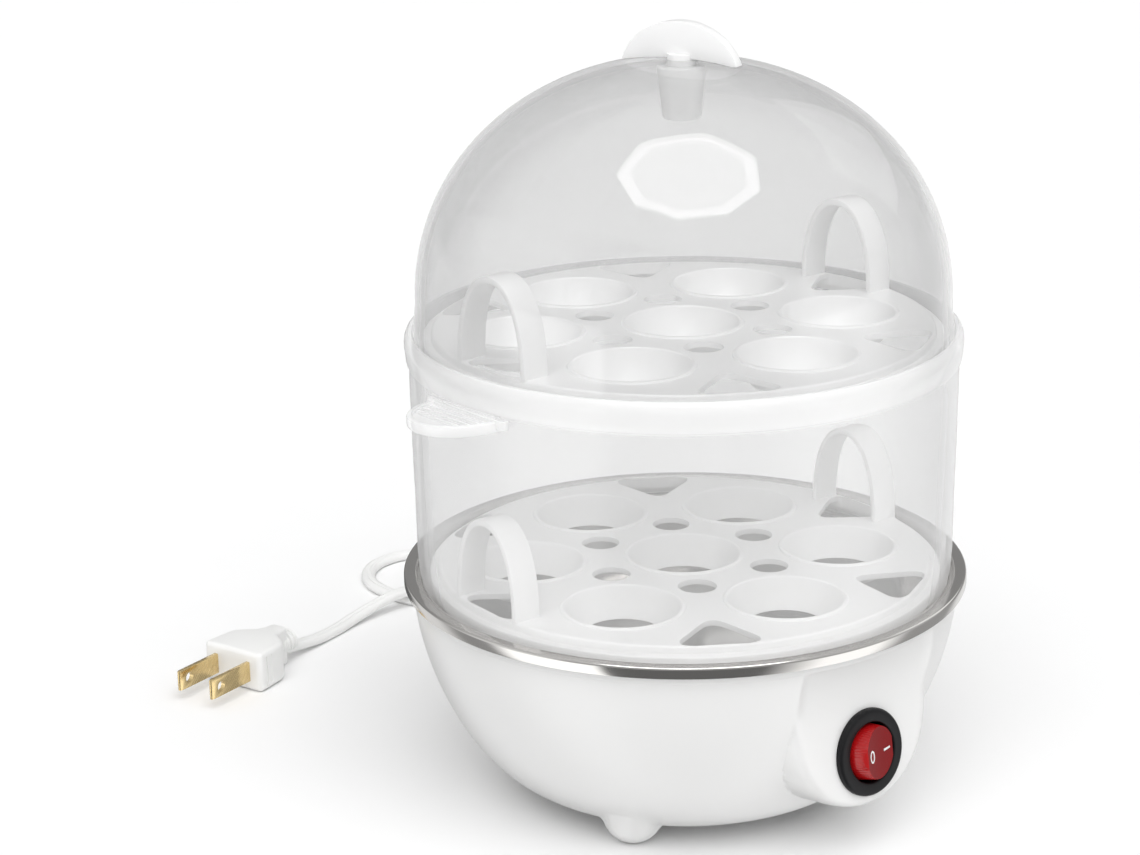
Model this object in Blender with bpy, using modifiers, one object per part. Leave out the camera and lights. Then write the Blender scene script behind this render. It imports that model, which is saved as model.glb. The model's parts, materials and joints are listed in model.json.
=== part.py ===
"""Two-tier electric egg cooker.

Z is up, and the origin lies on the table under the vertical axis of the cooker. The switch faces -Y.
Lengths in this file are millimetres, and MM turns them into Blender's metres.
"""

import math

import bmesh
import bpy
from mathutils import Matrix, Vector

MM = 0.001
GAP = 0.3  # clearance kept between pieces that touch
STEPS = 32  # facets round a large turned piece
SMALL_STEPS = 16  # facets round a small one

# Steel water pan, which carries the stack
RIM_RADIUS = 77.0
RIM_TOP = 63.0
SKIRT_HEIGHT = 3.0
PAN_SHEET = 0.6
LEDGE_HEIGHT = 59.0
PAN_FLOOR = 40.0
PAN_FLOOR_RADIUS = 46.0

# Plastic base
BASE_RADIUS = 74.4
BASE_TOP = 62.1
BASE_SHOULDER = 57.0
BASE_FLOOR = 5.0
BASE_FLOOR_RADIUS = 45.0
BASE_WALL = 2.1
BOWL_POWER = 1.6
FOOT_RADIUS = 8.2
FOOT_CIRCLE = 46.0
FOOT_ANGLES = (-60.0, 60.0, 180.0)  # measured from the switch, seen from above
SCREW_CIRCLE = 41.0
SCREW_ANGLES = (0.0, 120.0, -120.0)

# Switch and the boss that holds it
BOSS_REACH = 70.3
BOSS_HEIGHT = 29.2
BOSS_TILT = 8.0
BOSS_HALF_WIDTH = 24.3
BOSS_DROP = 16.4
BOSS_WALL = 2.0
BOSS_CURVES_FROM = 40.0  # above this height its face turns out again, to meet the rim
BEZEL_RADIUS = 11.65
BEZEL_THICKNESS = 1.75
SWITCH_BODY_RADIUS = 9.9
SWITCH_OPENING_RADIUS = 8.05
SWITCH_DEPTH = 12.0
ROCKER_RADIUS = 7.6
ROCKER_SWING = 7.75  # its ends are round about the pivot, so that they clear the housing
ROCKER_TOP = 4.5  # above its pivot
ROCKER_TILT = 15.0
ROCKER_PIVOT = -0.6  # from the face of the boss

# Stack of tray, ring, tray and lid
STACK_PITCH = 66.0
TRAY_RADIUS = 69.8
TRAY_TOP_RADIUS = 67.2
TRAY_HEIGHT = 5.6
TRAY_PLATE = 1.5
CUP_CIRCLE = 43.1
CUP_RADIUS = 15.2
CUP_HOLE_RADIUS = 10.5
CUP_DEPTH = 7.4
CUP_WALL = 1.2
STEAM_HOLE_RADIUS = 5.2
STEAM_HOLE_CIRCLE = 24.9
ARCH_REACH = 62.0
ARCH_HALF_SPAN = 13.5
ARCH_HEIGHT = 24.3
ARCH_WIDTH = 8.0
ARCH_THICKNESS = 1.8
LOWER_TRAY_TURN = -4.3
RING_TOP = 131.0
TAB_HALF_WIDTH = 13.2
TAB_REACH = 90.0
TAB_TOP = 122.2
TAB_THICKNESS = 3.0
DOME_RADIUS = 71.4
DOME_SPRING = 138.5
DOME_RISE = 63.6
DOME_WALL = 1.5
DOME_POWER = 2.08
LID_TURN = -71.0
FIN_HALF_LENGTH = 17.6
FIN_CENTRE = 196.8
FIN_RISE = 15.1
FIN_THICKNESS = 3.2
STEM_RADIUS = 3.8
PLUG_DROP = 14.0

# Heater under the pan
HEATER_PLATE_RADIUS = 34.0
HEATER_PLATE_THICKNESS = 3.0
ELEMENT_CIRCLE = 25.0
ELEMENT_RADIUS = 3.3

# Mains lead
CORD_EXIT_HEIGHT = 22.0
CORD_WIDTH = 4.6
CORD_REST = CORD_WIDTH / 2 + 0.05
COIL_CENTRE = (99.4, 96.7)
COIL_RADIUS = 26.0
# From the strain relief, over the table, round one open loop and up to the coil
LEAD_ROUTE = [
    (0.0, 86.4, 22.0), (0.4, 96.9, 21.5), (3.1, 107.1, 19.0), (9.2, 117.6, 14.5), (17.3, 126.4, 10.4),
    (26.2, 134.7, 8.2), (35.2, 142.8, 7.7), (43.4, 150.2, 7.6), (49.7, 156.7, 5.6), (55.2, 163.8, 3.2),
    (57.9, 173.3, CORD_REST), (55.9, 182.6, CORD_REST), (49.8, 189.3, CORD_REST), (40.9, 191.9, CORD_REST),
    (31.8, 190.0, CORD_REST), (24.7, 184.2, CORD_REST), (20.4, 176.0, CORD_REST), (19.5, 167.1, CORD_REST),
    (20.6, 158.3, CORD_REST), (24.0, 150.0, CORD_REST), (31.5, 140.2, CORD_REST), (40.1, 130.2, CORD_REST),
    (47.1, 118.4, CORD_REST), (53.9, 106.2, CORD_REST), (63.6, 94.4, CORD_REST),
]
# From the coil, under the first stretch and over the loop, to the plug
TAIL_ROUTE = [
    (95.3, 132.3, CORD_REST), (84.1, 137.6, CORD_REST), (72.1, 141.9, CORD_REST), (59.3, 145.4, CORD_REST),
    (50.6, 147.5, CORD_REST), (42.6, 149.6, CORD_REST), (35.7, 151.5, 3.6), (28.8, 153.4, 6.4),
    (21.5, 154.8, 8.0), (13.7, 155.6, 7.4), (5.8, 155.5, 5.3), (-2.5, 154.2, 3.4), (-11.1, 151.6, CORD_REST),
    (-20.1, 148.7, 2.6), (-28.8, 146.2, 4.2), (-37.5, 143.8, 6.4),
]
TAIL_HEADING = -164.8  # the way the plug points, from +X
PLUG_LENGTH = 24.0
PIN_LENGTH = 16.5
PIN_SPACING = 12.7


# ---------------------------------------------------------------- scene and materials


def clear_scene():
    for old in list(bpy.data.objects):
        bpy.data.objects.remove(old, do_unlink=True)


def new_collection(name):
    made = bpy.data.collections.new(name)
    bpy.context.scene.collection.children.link(made)
    return made


def new_material(name, colour, roughness, metallic=0.0, transmission=0.0):
    made = bpy.data.materials.new(name)
    made.use_nodes = True
    shader = made.node_tree.nodes["Principled BSDF"]
    shader.inputs["Base Color"].default_value = (*colour, 1.0)
    shader.inputs["Roughness"].default_value = roughness
    shader.inputs["Metallic"].default_value = metallic
    shader.inputs["Transmission Weight"].default_value = transmission
    made.diffuse_color = (*colour, 1.0)
    return made


clear_scene()
PARTS = new_collection("egg_cooker")
CUTTERS = new_collection("cutters")
WHITE = new_material("white_polypropylene", (0.86, 0.86, 0.86), 0.35)
FROSTED = new_material("frosted_polypropylene", (0.9, 0.9, 0.9), 0.4, transmission=0.5)
CLEAR = new_material("clear_polystyrene", (0.95, 0.95, 0.95), 0.05, transmission=0.9)
STEEL = new_material("stainless_steel", (0.62, 0.61, 0.6), 0.25, metallic=1.0)
ALUMINIUM = new_material("aluminium", (0.75, 0.75, 0.76), 0.4, metallic=1.0)
BRASS = new_material("brass", (0.75, 0.6, 0.3), 0.3, metallic=1.0)
BLACK = new_material("black_nylon", (0.02, 0.02, 0.02), 0.45)
RED = new_material("red_polycarbonate", (0.6, 0.01, 0.01), 0.15, transmission=0.4)
GLASS = new_material("lamp_glass", (0.9, 0.6, 0.4), 0.05, transmission=0.8)
CORD_WHITE = new_material("white_pvc", (0.85, 0.85, 0.84), 0.45)
CERAMIC = new_material("brown_phenolic", (0.2, 0.1, 0.06), 0.5)


# ---------------------------------------------------------------- modelling helpers


def at(x, y, z):
    return Vector((x * MM, y * MM, z * MM))


def polar(radius, angle, height):
    """A point at this radius and height. angle is in degrees from the switch, seen from above."""
    turn = math.radians(angle)
    return (radius * math.sin(turn), -radius * math.cos(turn), height)


def place(obj, material, matrix=None, hidden=False):
    """Puts a new object in its collection, with its material and its place."""
    for home in list(obj.users_collection):
        home.objects.unlink(obj)
    (CUTTERS if hidden else PARTS).objects.link(obj)
    obj.matrix_world = matrix if matrix is not None else Matrix.Identity(4)
    if hidden:
        obj.hide_render = True
        obj.display_type = "WIRE"
    elif material:
        obj.data.materials.append(material)
    return obj


def smooth(mesh):
    mesh.shade_smooth()
    mesh.set_sharp_from_angle(angle=math.radians(35))


def turned(name, profile, material=None, steps=STEPS, closed=False, matrix=None, hidden=False):
    """Turns a profile of (radius, height) points about the local Z axis."""
    mesh = bpy.data.meshes.new(name)
    points = [at(radius, 0, height) for radius, height in profile]
    edges = [(i, i + 1) for i in range(len(points) - 1)]
    if closed:
        edges.append((len(points) - 1, 0))
    mesh.from_pydata(points, edges, [])
    obj = place(bpy.data.objects.new(name, mesh), material, matrix, hidden)
    screw = obj.modifiers.new("turn", "SCREW")
    screw.steps = screw.render_steps = steps
    screw.use_merge_vertices = True
    screw.merge_threshold = 0.00001
    screw.use_smooth_shade = True
    return obj


def box(name, low, high, material=None, matrix=None, hidden=False):
    """A box between two corners in its own frame."""
    mesh = bpy.data.meshes.new(name)
    shape = bmesh.new()
    bmesh.ops.create_cube(shape, size=1.0)
    for vertex in shape.verts:
        vertex.co = Vector(
            [MM * (high[i] if vertex.co[i] > 0 else low[i]) for i in range(3)]
        )
    shape.to_mesh(mesh)
    shape.free()
    return place(bpy.data.objects.new(name, mesh), material, matrix, hidden)


def cylinder(name, radius, low, high, material=None, matrix=None, hidden=False, steps=SMALL_STEPS, tip=None):
    """A cylinder along the local Z axis, or a cone where tip gives another radius at the top."""
    mesh = bpy.data.meshes.new(name)
    shape = bmesh.new()
    bmesh.ops.create_cone(
        shape,
        cap_ends=True,
        segments=steps,
        radius1=radius * MM,
        radius2=(radius if tip is None else tip) * MM,
        depth=(high - low) * MM,
        matrix=Matrix.Translation(at(0, 0, (low + high) / 2)),
    )
    shape.to_mesh(mesh)
    shape.free()
    return place(bpy.data.objects.new(name, mesh), material, matrix, hidden)


def mesh_of_curve(curve_object):
    """Replaces a curve object by the mesh that it draws, with its caps welded to its sides."""
    graph = bpy.context.evaluated_depsgraph_get()
    mesh = bpy.data.meshes.new_from_object(curve_object.evaluated_get(graph))
    shape = bmesh.new()
    shape.from_mesh(mesh)
    bmesh.ops.remove_doubles(shape, verts=shape.verts, dist=0.000001)
    shape.to_mesh(mesh)
    shape.free()
    name, matrix = curve_object.name, curve_object.matrix_world.copy()
    bpy.data.objects.remove(curve_object, do_unlink=True)
    made = bpy.data.objects.new(name, mesh)
    made.matrix_world = matrix
    return made


def plate(name, outline, low, high, material=None, matrix=None, hidden=False):
    """A flat outline in the local XY plane, filled and extruded from low to high along local Z."""
    curve = bpy.data.curves.new(name, "CURVE")
    curve.dimensions = "2D"
    curve.fill_mode = "BOTH"
    curve.extrude = (high - low) / 2 * MM
    spline = curve.splines.new("POLY")
    spline.points.add(len(outline) - 1)
    for point, (x, y) in zip(spline.points, outline):
        point.co = (x * MM, y * MM, 0.0, 1.0)
    spline.use_cyclic_u = True
    drawn = bpy.data.objects.new(name, curve)
    bpy.context.scene.collection.objects.link(drawn)
    bpy.context.view_layer.update()
    made = mesh_of_curve(drawn)
    made.data.transform(Matrix.Translation(at(0, 0, (low + high) / 2)))
    return place(made, material, matrix, hidden)


def smooth_route(points, spacing):
    """Points at an even spacing along a Catmull-Rom curve through the given ones."""
    line = [Vector(p) for p in points]
    line = [2 * line[0] - line[1], *line, 2 * line[-1] - line[-2]]
    fine = []
    for a, b, c, d in zip(line, line[1:], line[2:], line[3:]):
        for step in range(12):
            t = step / 12
            fine.append(
                0.5
                * (2 * b + (c - a) * t + (2 * a - 5 * b + 4 * c - d) * t * t + (3 * b - a - 3 * c + d) * t**3)
            )
    fine.append(line[-2])
    total = sum((q - p).length for p, q in zip(fine, fine[1:]))
    count = max(2, round(total / spacing))
    out, gone, wanted = [fine[0]], 0.0, total / count
    for p, q in zip(fine, fine[1:]):
        span = (q - p).length
        while gone + span >= wanted - 1e-9 and len(out) < count:
            out.append(p.lerp(q, (wanted - gone) / span))
            wanted += total / count
        gone += span
    return [*out, fine[-1]]


def tube(name, points, diameter, material, resolution=2):
    """A round tube through these points, with filled ends."""
    curve = bpy.data.curves.new(name, "CURVE")
    curve.dimensions = "3D"
    curve.bevel_depth = diameter / 2 * MM
    curve.bevel_resolution = resolution
    curve.use_fill_caps = True
    spline = curve.splines.new("POLY")
    spline.points.add(len(points) - 1)
    for point, position in zip(spline.points, points):
        point.co = (*at(*position), 1.0)
    return place(bpy.data.objects.new(name, curve), material)


def boolean(target, other, operation):
    """Adds a Boolean with one object, or with every object of a list."""
    modifier = target.modifiers.new(f"{operation.lower()} {len(target.modifiers)}", "BOOLEAN")
    modifier.operation = operation
    modifier.solver = "EXACT"
    if isinstance(other, list):
        group = bpy.data.collections.new(f"{target.name} {operation.lower()}")
        CUTTERS.children.link(group)
        for member in other:
            group.objects.link(member)
        modifier.operand_type = "COLLECTION"
        modifier.collection = group
    else:
        modifier.object = other
    return target


def join(target, other):
    return boolean(target, other, "UNION")


def cut(target, other):
    return boolean(target, other, "DIFFERENCE")


def quarter(start, end, power, count):
    """A superelliptic quarter from a steep start (radius, height) to a level end."""
    (r0, z0), (r1, z1) = start, end
    out = []
    for i in range(count + 1):
        turn = math.pi / 2 * i / count
        out.append(
            (
                r1 + (r0 - r1) * math.cos(turn) ** (2 / power),
                z0 + (z1 - z0) * math.sin(turn) ** (2 / power),
            )
        )
    return out


def turn_z(angle):
    """The matrix that turns the -Y direction to this angle from the switch."""
    return Matrix.Rotation(math.radians(angle), 4, "Z")


# ---------------------------------------------------------------- base

SWITCH_FRAME = Matrix.Translation(at(0, -BOSS_REACH, BOSS_HEIGHT)) @ Matrix.Rotation(
    math.radians(90 - BOSS_TILT), 4, "X"
)
REAR_FRAME = Matrix.Translation(at(0, 0, CORD_EXIT_HEIGHT)) @ Matrix.Rotation(math.radians(-90), 4, "X")


def boss_outline(half_width, drop, top):
    """Straight sides that end below in a half ellipse, about the centre of the switch."""
    arc_top = 7.0
    out = [(half_width, top)]
    for i in range(13):
        turn = -math.pi * i / 12
        out.append((half_width * math.cos(turn), arc_top + (drop + arc_top) * math.sin(turn)))
    out.append((-half_width, top))
    return out[::-1]


def boss_face(z):
    """Where the face of the boss lies at height z: flat behind the switch, then out to the rim."""
    flat = -(BOSS_REACH - (z - BOSS_HEIGHT) * math.tan(math.radians(BOSS_TILT)))
    return flat - 3.9 * (max(z - BOSS_CURVES_FROM, 0.0) / (BASE_SHOULDER - BOSS_CURVES_FROM)) ** 2


def before_boss(name, behind, low, high, half_width):
    """Everything before the face of the boss, starting this far behind it."""
    inside = [z for z in (BOSS_CURVES_FROM, 44.5, 48.5, 52.5) if low < z < high]
    outline = [(boss_face(z) + behind, z) for z in (low, *inside, high)]
    outline += [(-95.0, high), (-95.0, low)]
    along_x = Matrix(((0, 0, 1, 0), (1, 0, 0, 0), (0, 1, 0, 0), (0, 0, 0, 1)))
    return plate(name, outline, -half_width, half_width, matrix=along_x, hidden=True)


def make_boss():
    boss = plate("boss_solid", boss_outline(BOSS_HALF_WIDTH, BOSS_DROP, 28.6), -24.0, 7.0, hidden=True)
    boss.matrix_world = SWITCH_FRAME
    cut(boss, before_boss("boss_front", 0.0, -20.0, 75.0, 40.0))
    edge = boss.modifiers.new("soft edge", "BEVEL")
    edge.width = 2.6 * MM
    edge.segments = 2
    edge.limit_method = "ANGLE"
    edge.angle_limit = math.radians(50)
    return boss


def make_base():
    bowl = quarter((BASE_RADIUS, BASE_SHOULDER), (BASE_FLOOR_RADIUS, BASE_FLOOR), BOWL_POWER, 8)
    lip_radius = BASE_RADIUS + 0.5
    profile = [(0, BASE_TOP), (lip_radius, BASE_TOP), (lip_radius, BASE_SHOULDER + 0.6), *bowl, (0, BASE_FLOOR)]
    base = turned("base_housing", profile, WHITE)
    inner_bowl = quarter(
        (BASE_RADIUS - BASE_WALL, BASE_SHOULDER),
        (BASE_FLOOR_RADIUS - 1.5, BASE_FLOOR + BASE_WALL),
        BOWL_POWER,
        7,
    )
    hollow = [
        (0, BASE_TOP + 5),
        (BASE_RADIUS - 0.6, BASE_TOP + 5),
        (BASE_RADIUS - 0.6, BASE_SHOULDER + 0.6),
        *inner_bowl,
        (0, BASE_FLOOR + BASE_WALL),
    ]
    cavity_outline = boss_outline(BOSS_HALF_WIDTH - 2.2, BOSS_DROP - 2.2, 20.0)
    cut(base, box("boss_seat", (-22.2, -95.0, 21.0), (22.2, -60.0, 55.0), hidden=True))
    join(base, make_boss())
    cavity = turned("bowl_cavity", hollow, hidden=True)
    cut(cavity, before_boss("boss_wall", BOSS_WALL, 8.0, BASE_SHOULDER - 0.1, BOSS_HALF_WIDTH + 0.1))
    cut(base, cavity)
    cut(base, plate("boss_cavity", cavity_outline, -30.0, -2.2, matrix=SWITCH_FRAME, hidden=True))
    added, removed = [], []
    for number, angle in enumerate(FOOT_ANGLES, 1):
        added.append(make_foot(number, angle))
    for number, angle in enumerate(SCREW_ANGLES, 1):
        spot = Matrix.Translation(at(*polar(SCREW_CIRCLE, angle, 0)))
        post = cylinder(f"screw_post_{number}", 4.4, BASE_FLOOR + 0.8, 14.0, matrix=spot, hidden=True, steps=12)
        added.append(post)
        removed.append(cylinder(f"screw_hole_{number}", 1.8, 0.0, 16.0, matrix=spot, hidden=True, steps=12))
        removed.append(cylinder(f"screw_recess_{number}", 3.6, 0.0, 9.6, matrix=spot, hidden=True, steps=12))
    removed.append(cylinder("switch_hole", SWITCH_BODY_RADIUS + GAP, -8, 4, matrix=SWITCH_FRAME, hidden=True))
    recess = BEZEL_RADIUS + GAP
    removed.append(cylinder("bezel_recess", recess, 0.1, 8, matrix=SWITCH_FRAME, hidden=True, steps=28))
    removed.append(cylinder("cord_hole", 4.6, 52, 75, matrix=REAR_FRAME, hidden=True))
    join(base, added)
    cut(base, removed)


def make_foot(number, angle):
    """The lower half of a ball, cut flat where it stands on the table."""
    centre = FOOT_RADIUS - 0.2
    level = math.asin(-centre / FOOT_RADIUS)
    arc = [level * i / 4 for i in range(5)]
    profile = [(0, centre + 0.4), (FOOT_RADIUS, centre + 0.4)]
    profile += [(FOOT_RADIUS * math.cos(a), centre + FOOT_RADIUS * math.sin(a)) for a in arc]
    profile[-1] = (profile[-1][0], 0.0)
    profile.append((0, 0.0))
    spot = Matrix.Translation(at(*polar(FOOT_CIRCLE, angle, 0)))
    return turned(f"foot_{number}", profile, steps=12, matrix=spot, hidden=True)


def make_base_screws():
    for number, angle in enumerate(SCREW_ANGLES, 1):
        head = [(0, 21.0), (1.5, 21.0), (1.5, 9.2), (3.2, 9.2), (3.2, 7.4), (2.6, 6.8), (0, 6.8)]
        spot = Matrix.Translation(at(*polar(SCREW_CIRCLE, angle, 0)))
        screw = turned(f"base_screw_{number}", head, STEEL, steps=12, matrix=spot)
        slots = []
        for way in (0, 90):
            slot = spot @ turn_z(way)
            name = f"cross_{number}_{way}"
            slots.append(box(name, (-1.7, -0.4, 5.0), (1.7, 0.4, 7.8), matrix=slot, hidden=True))
        cut(screw, slots)
        top = PAN_FLOOR - PAN_SHEET - GAP
        post = cylinder(f"pan_standoff_{number}", 3.5, 14.0 + GAP, top, STEEL, spot, steps=12)
        cut(post, cylinder(f"standoff_bore_{number}", 1.8, 10.0, 23.0, matrix=spot, hidden=True, steps=12))


# ---------------------------------------------------------------- water pan and heater


def make_pan():
    bowl = quarter((66.2, LEDGE_HEIGHT - 0.4), (PAN_FLOOR_RADIUS, PAN_FLOOR), 2.2, 5)
    profile = [
        (RIM_RADIUS, RIM_TOP - SKIRT_HEIGHT),
        (RIM_RADIUS, RIM_TOP - 0.5),
        (RIM_RADIUS - 0.5, RIM_TOP),
        (RIM_RADIUS - 3.4, RIM_TOP),
        (RIM_RADIUS - 4.1, RIM_TOP - 0.6),
        (RIM_RADIUS - 4.6, LEDGE_HEIGHT + 0.3),
        (RIM_RADIUS - 4.9, LEDGE_HEIGHT),
        (67.0, LEDGE_HEIGHT),
        *bowl,
        (0, PAN_FLOOR),
    ]
    pan = turned("water_pan", profile[::-1], STEEL)
    sheet = pan.modifiers.new("sheet", "SOLIDIFY")
    sheet.thickness = PAN_SHEET * MM
    sheet.offset = -1
    return pan


def make_heater():
    under = PAN_FLOOR - PAN_SHEET - GAP
    plate_low = under - HEATER_PLATE_THICKNESS
    heater_plate = cylinder("heater_plate", HEATER_PLATE_RADIUS, plate_low, under, ALUMINIUM, steps=32)
    element_height = plate_low - GAP - ELEMENT_RADIUS
    start, sweep = math.radians(30), math.radians(300)
    arc = []
    for i in range(21):
        turn = start + sweep * i / 20
        arc.append((ELEMENT_CIRCLE * math.cos(turn), ELEMENT_CIRCLE * math.sin(turn), element_height))
    tube("heating_element", arc, 2 * ELEMENT_RADIUS, ALUMINIUM)
    for number, sign in ((1, 1), (2, -1)):
        turn = math.radians(30 * sign)
        along = Vector((math.sin(turn) * sign, -math.cos(turn) * sign, 0))
        end = Vector((ELEMENT_CIRCLE * math.cos(turn), ELEMENT_CIRCLE * math.sin(turn), element_height))
        pin = Matrix.Translation(at(*(end + along * GAP))) @ along.to_track_quat("Z", "Y").to_matrix().to_4x4()
        cylinder(f"heater_terminal_{number}", 1.4, 0, 5.5, STEEL, pin, steps=10)
    bar_top = element_height - ELEMENT_RADIUS - GAP
    bar = box("heater_bracket", (-6.0, -32.0, bar_top - 1.5), (6.0, 32.0, bar_top), STEEL)
    cut(bar, cylinder("bracket_hole", 2.8, bar_top - 5, bar_top + 5, hidden=True, steps=12))
    stud = [
        (0, plate_low - GAP),
        (4.5, plate_low - GAP),
        (4.5, plate_low - GAP - 1.2),
        (2.4, plate_low - GAP - 1.2),
        (2.4, bar_top - 8.0),
        (0, bar_top - 8.0),
    ]
    turned("heater_stud", stud, STEEL, steps=12)
    nut = cylinder("heater_nut", 4.6, bar_top - 1.5 - GAP - 3.6, bar_top - 1.5 - GAP, STEEL, steps=6)
    cut(nut, cylinder("nut_bore", 2.7, 0, 60, hidden=True, steps=12))
    return plate_low, bar_top


def make_thermal_parts(plate_low):
    top = plate_low - GAP
    can = [(0, top), (7.2, top), (7.2, top - 1.0), (6.4, top - 1.0), (6.4, top - 6.0), (5.6, top - 6.6)]
    can.append((0, top - 6.6))
    spot = Matrix.Translation(at(13.0, 0, 0))
    turned("thermostat", can, CERAMIC, matrix=spot)
    for number, side in ((1, -3.0), (2, 3.0)):
        low = top - 6.6 - GAP
        box(
            f"thermostat_terminal_{number}",
            (11.5, side - 0.4, low - 6.0),
            (14.5, side + 0.4, low),
            STEEL,
        )
    fuse = Matrix.Translation(at(-13.0, 0, top - 2.4)) @ Matrix.Rotation(math.radians(90), 4, "X")
    body = [(0, 9), (1.2, 9), (2.0, 8), (2.0, -8), (1.2, -9), (0, -9)]
    turned("thermal_fuse", body, CORD_WHITE, steps=12, matrix=fuse)
    clip = [(-17.2, top), (-8.8, top), (-8.8, top - 5.4), (-17.2, top - 5.4)]
    saddle = plate("fuse_clip", clip, -2.0, 2.0, STEEL, Matrix.Rotation(math.radians(90), 4, "X"))
    cut(saddle, cylinder("clip_bore", 2.4, -9, 9, matrix=fuse, hidden=True, steps=12))
    cut(saddle, box("clip_mouth", (-15.2, -5, top - 2.4), (-10.8, 5, top + 1), hidden=True))


# ---------------------------------------------------------------- switch


def make_switch():
    opening, back = SWITCH_OPENING_RADIUS, -SWITCH_DEPTH
    profile = [
        (0, back + 1.8),
        (opening + 0.7, back + 1.8),
        (opening + 0.7, 0.4),
        (opening, 1.0),
        (opening, BEZEL_THICKNESS + 0.1),
        (opening + 0.4, BEZEL_THICKNESS + 0.4),
        (BEZEL_RADIUS - 1.2, BEZEL_THICKNESS + 0.2),
        (BEZEL_RADIUS - 0.2, 1.0),
        (BEZEL_RADIUS, GAP),
        (SWITCH_BODY_RADIUS, GAP),
        (SWITCH_BODY_RADIUS, back),
        (0, back),
    ]
    housing = turned("switch_housing", profile, BLACK, steps=28, matrix=SWITCH_FRAME)
    pivot = Matrix.Translation(at(0, 0, ROCKER_PIVOT))
    across = SWITCH_FRAME @ pivot @ Matrix.Rotation(math.radians(90), 4, "X")
    openings = [cylinder("pivot_bore", 1.2, -9.4, 9.4, matrix=across, hidden=True, steps=12)]
    for number, side in enumerate((-5.5, 0.0, 5.5), 1):
        slot = ((side - 0.7, -3.1, back - 3), (side + 0.7, 3.1, back + 5))
        openings.append(box(f"blade_slot_{number}", *slot, matrix=SWITCH_FRAME, hidden=True))
        low, high = (side - 0.4, -2.8, back - 7.0), (side + 0.4, 2.8, back + 1.8)
        box(f"switch_terminal_{number}", low, high, BRASS, SWITCH_FRAME)
    cut(housing, openings)
    lamp = SWITCH_FRAME @ Matrix.Translation(at(0, 5.6, back + 3.4)) @ Matrix.Rotation(math.radians(90), 4, "Y")
    bulb = [(0, 3.6), (0.8, 3.2), (1.3, 2.2), (1.3, -3.2), (0, -3.2)]
    turned("switch_lamp", bulb, GLASS, steps=12, matrix=lamp)


def rocker_frame():
    """The pivot of the rocker, leaning with the end at +X pressed in."""
    lean = Matrix.Rotation(math.radians(ROCKER_TILT), 4, "Y")
    return SWITCH_FRAME @ Matrix.Translation(at(0, 0, ROCKER_PIVOT)) @ lean


def make_rocker():
    pivot = bpy.data.objects.new("rocker_pivot", None)
    PARTS.objects.link(pivot)
    pivot.matrix_world = rocker_frame()
    foot, face = ROCKER_RADIUS + 0.3, ROCKER_RADIUS - 0.7
    rocker = cylinder("switch_rocker", foot, -3.5, ROCKER_TOP, RED, steps=32, tip=face)
    along = Matrix.Rotation(math.radians(90), 4, "X")
    dish = Matrix.Translation(at(0, 0, ROCKER_TOP - 0.5 + 60.0)) @ along
    cut(rocker, cylinder("rocker_dish", 60.0, -12, 12, matrix=dish, hidden=True, steps=128))
    swing = [(ROCKER_SWING, -10.0), (ROCKER_SWING, 10.0), (12.0, 10.0), (12.0, -10.0)]
    cut(rocker, turned("rocker_ends", swing, closed=True, hidden=True, steps=64, matrix=along))
    join(rocker, cylinder("rocker_pins", 0.95, -9.1, 9.1, matrix=along, hidden=True, steps=12))
    for piece in [rocker] + [m.object for m in rocker.modifiers]:
        piece.parent = pivot
        piece.matrix_world = pivot.matrix_world @ piece.matrix_basis


def make_contact():
    """The see-saw contact that the rocker tips the other way."""
    height = -SWITCH_DEPTH + 3.3
    pivot = bpy.data.objects.new("contact_pivot", None)
    PARTS.objects.link(pivot)
    lean = Matrix.Rotation(math.radians(-ROCKER_TILT / 2), 4, "Y")
    pivot.matrix_world = SWITCH_FRAME @ Matrix.Translation(at(0, 0, height)) @ lean
    arm = box("switch_contact", (-5.0, -1.8, -0.3), (5.0, 1.8, 0.3), BRASS)
    arm.parent = pivot


# ---------------------------------------------------------------- stack


def rounded_triangle(inner, outer, half_width, corner):
    """A triangle whose point faces the middle, with rounded corners. Points are (x, y) with y outwards."""
    tips = [(0.0, inner), (half_width, outer), (-half_width, outer)]
    out = []
    for i, tip in enumerate(tips):
        here = Vector(tip)
        before = (Vector(tips[i - 1]) - here).normalized()
        after = (Vector(tips[(i + 1) % 3]) - here).normalized()
        for t in (0.0, 0.5, 1.0):
            edge = before * (1 - t) + after * t
            out.append(here + edge * corner * (0.7 + 0.3 * abs(2 * t - 1)))
    return [(p.x, -p.y) for p in out]


def arch_outline():
    """The lifting arch, an inverted U that leans in towards its top, as a band of even thickness."""
    power = 2.2

    def side(half_span, height, count):
        out = []
        for i in range(count + 1):
            turn = math.pi * i / count
            across = abs(math.cos(turn)) ** (2 / power) * math.copysign(1, math.cos(turn))
            out.append((half_span * across, height * math.sin(turn) ** (2 / power)))
        return out

    outer = side(ARCH_HALF_SPAN, ARCH_HEIGHT, 10)
    inner = side(ARCH_HALF_SPAN - ARCH_THICKNESS, ARCH_HEIGHT - ARCH_THICKNESS, 10)
    foot = -TRAY_PLATE / 2
    return (
        [(ARCH_HALF_SPAN, foot)]
        + outer
        + [(-ARCH_HALF_SPAN, foot), (-ARCH_HALF_SPAN + ARCH_THICKNESS, foot)]
        + inner[::-1]
        + [(ARCH_HALF_SPAN - ARCH_THICKNESS, foot)]
    )


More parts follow.
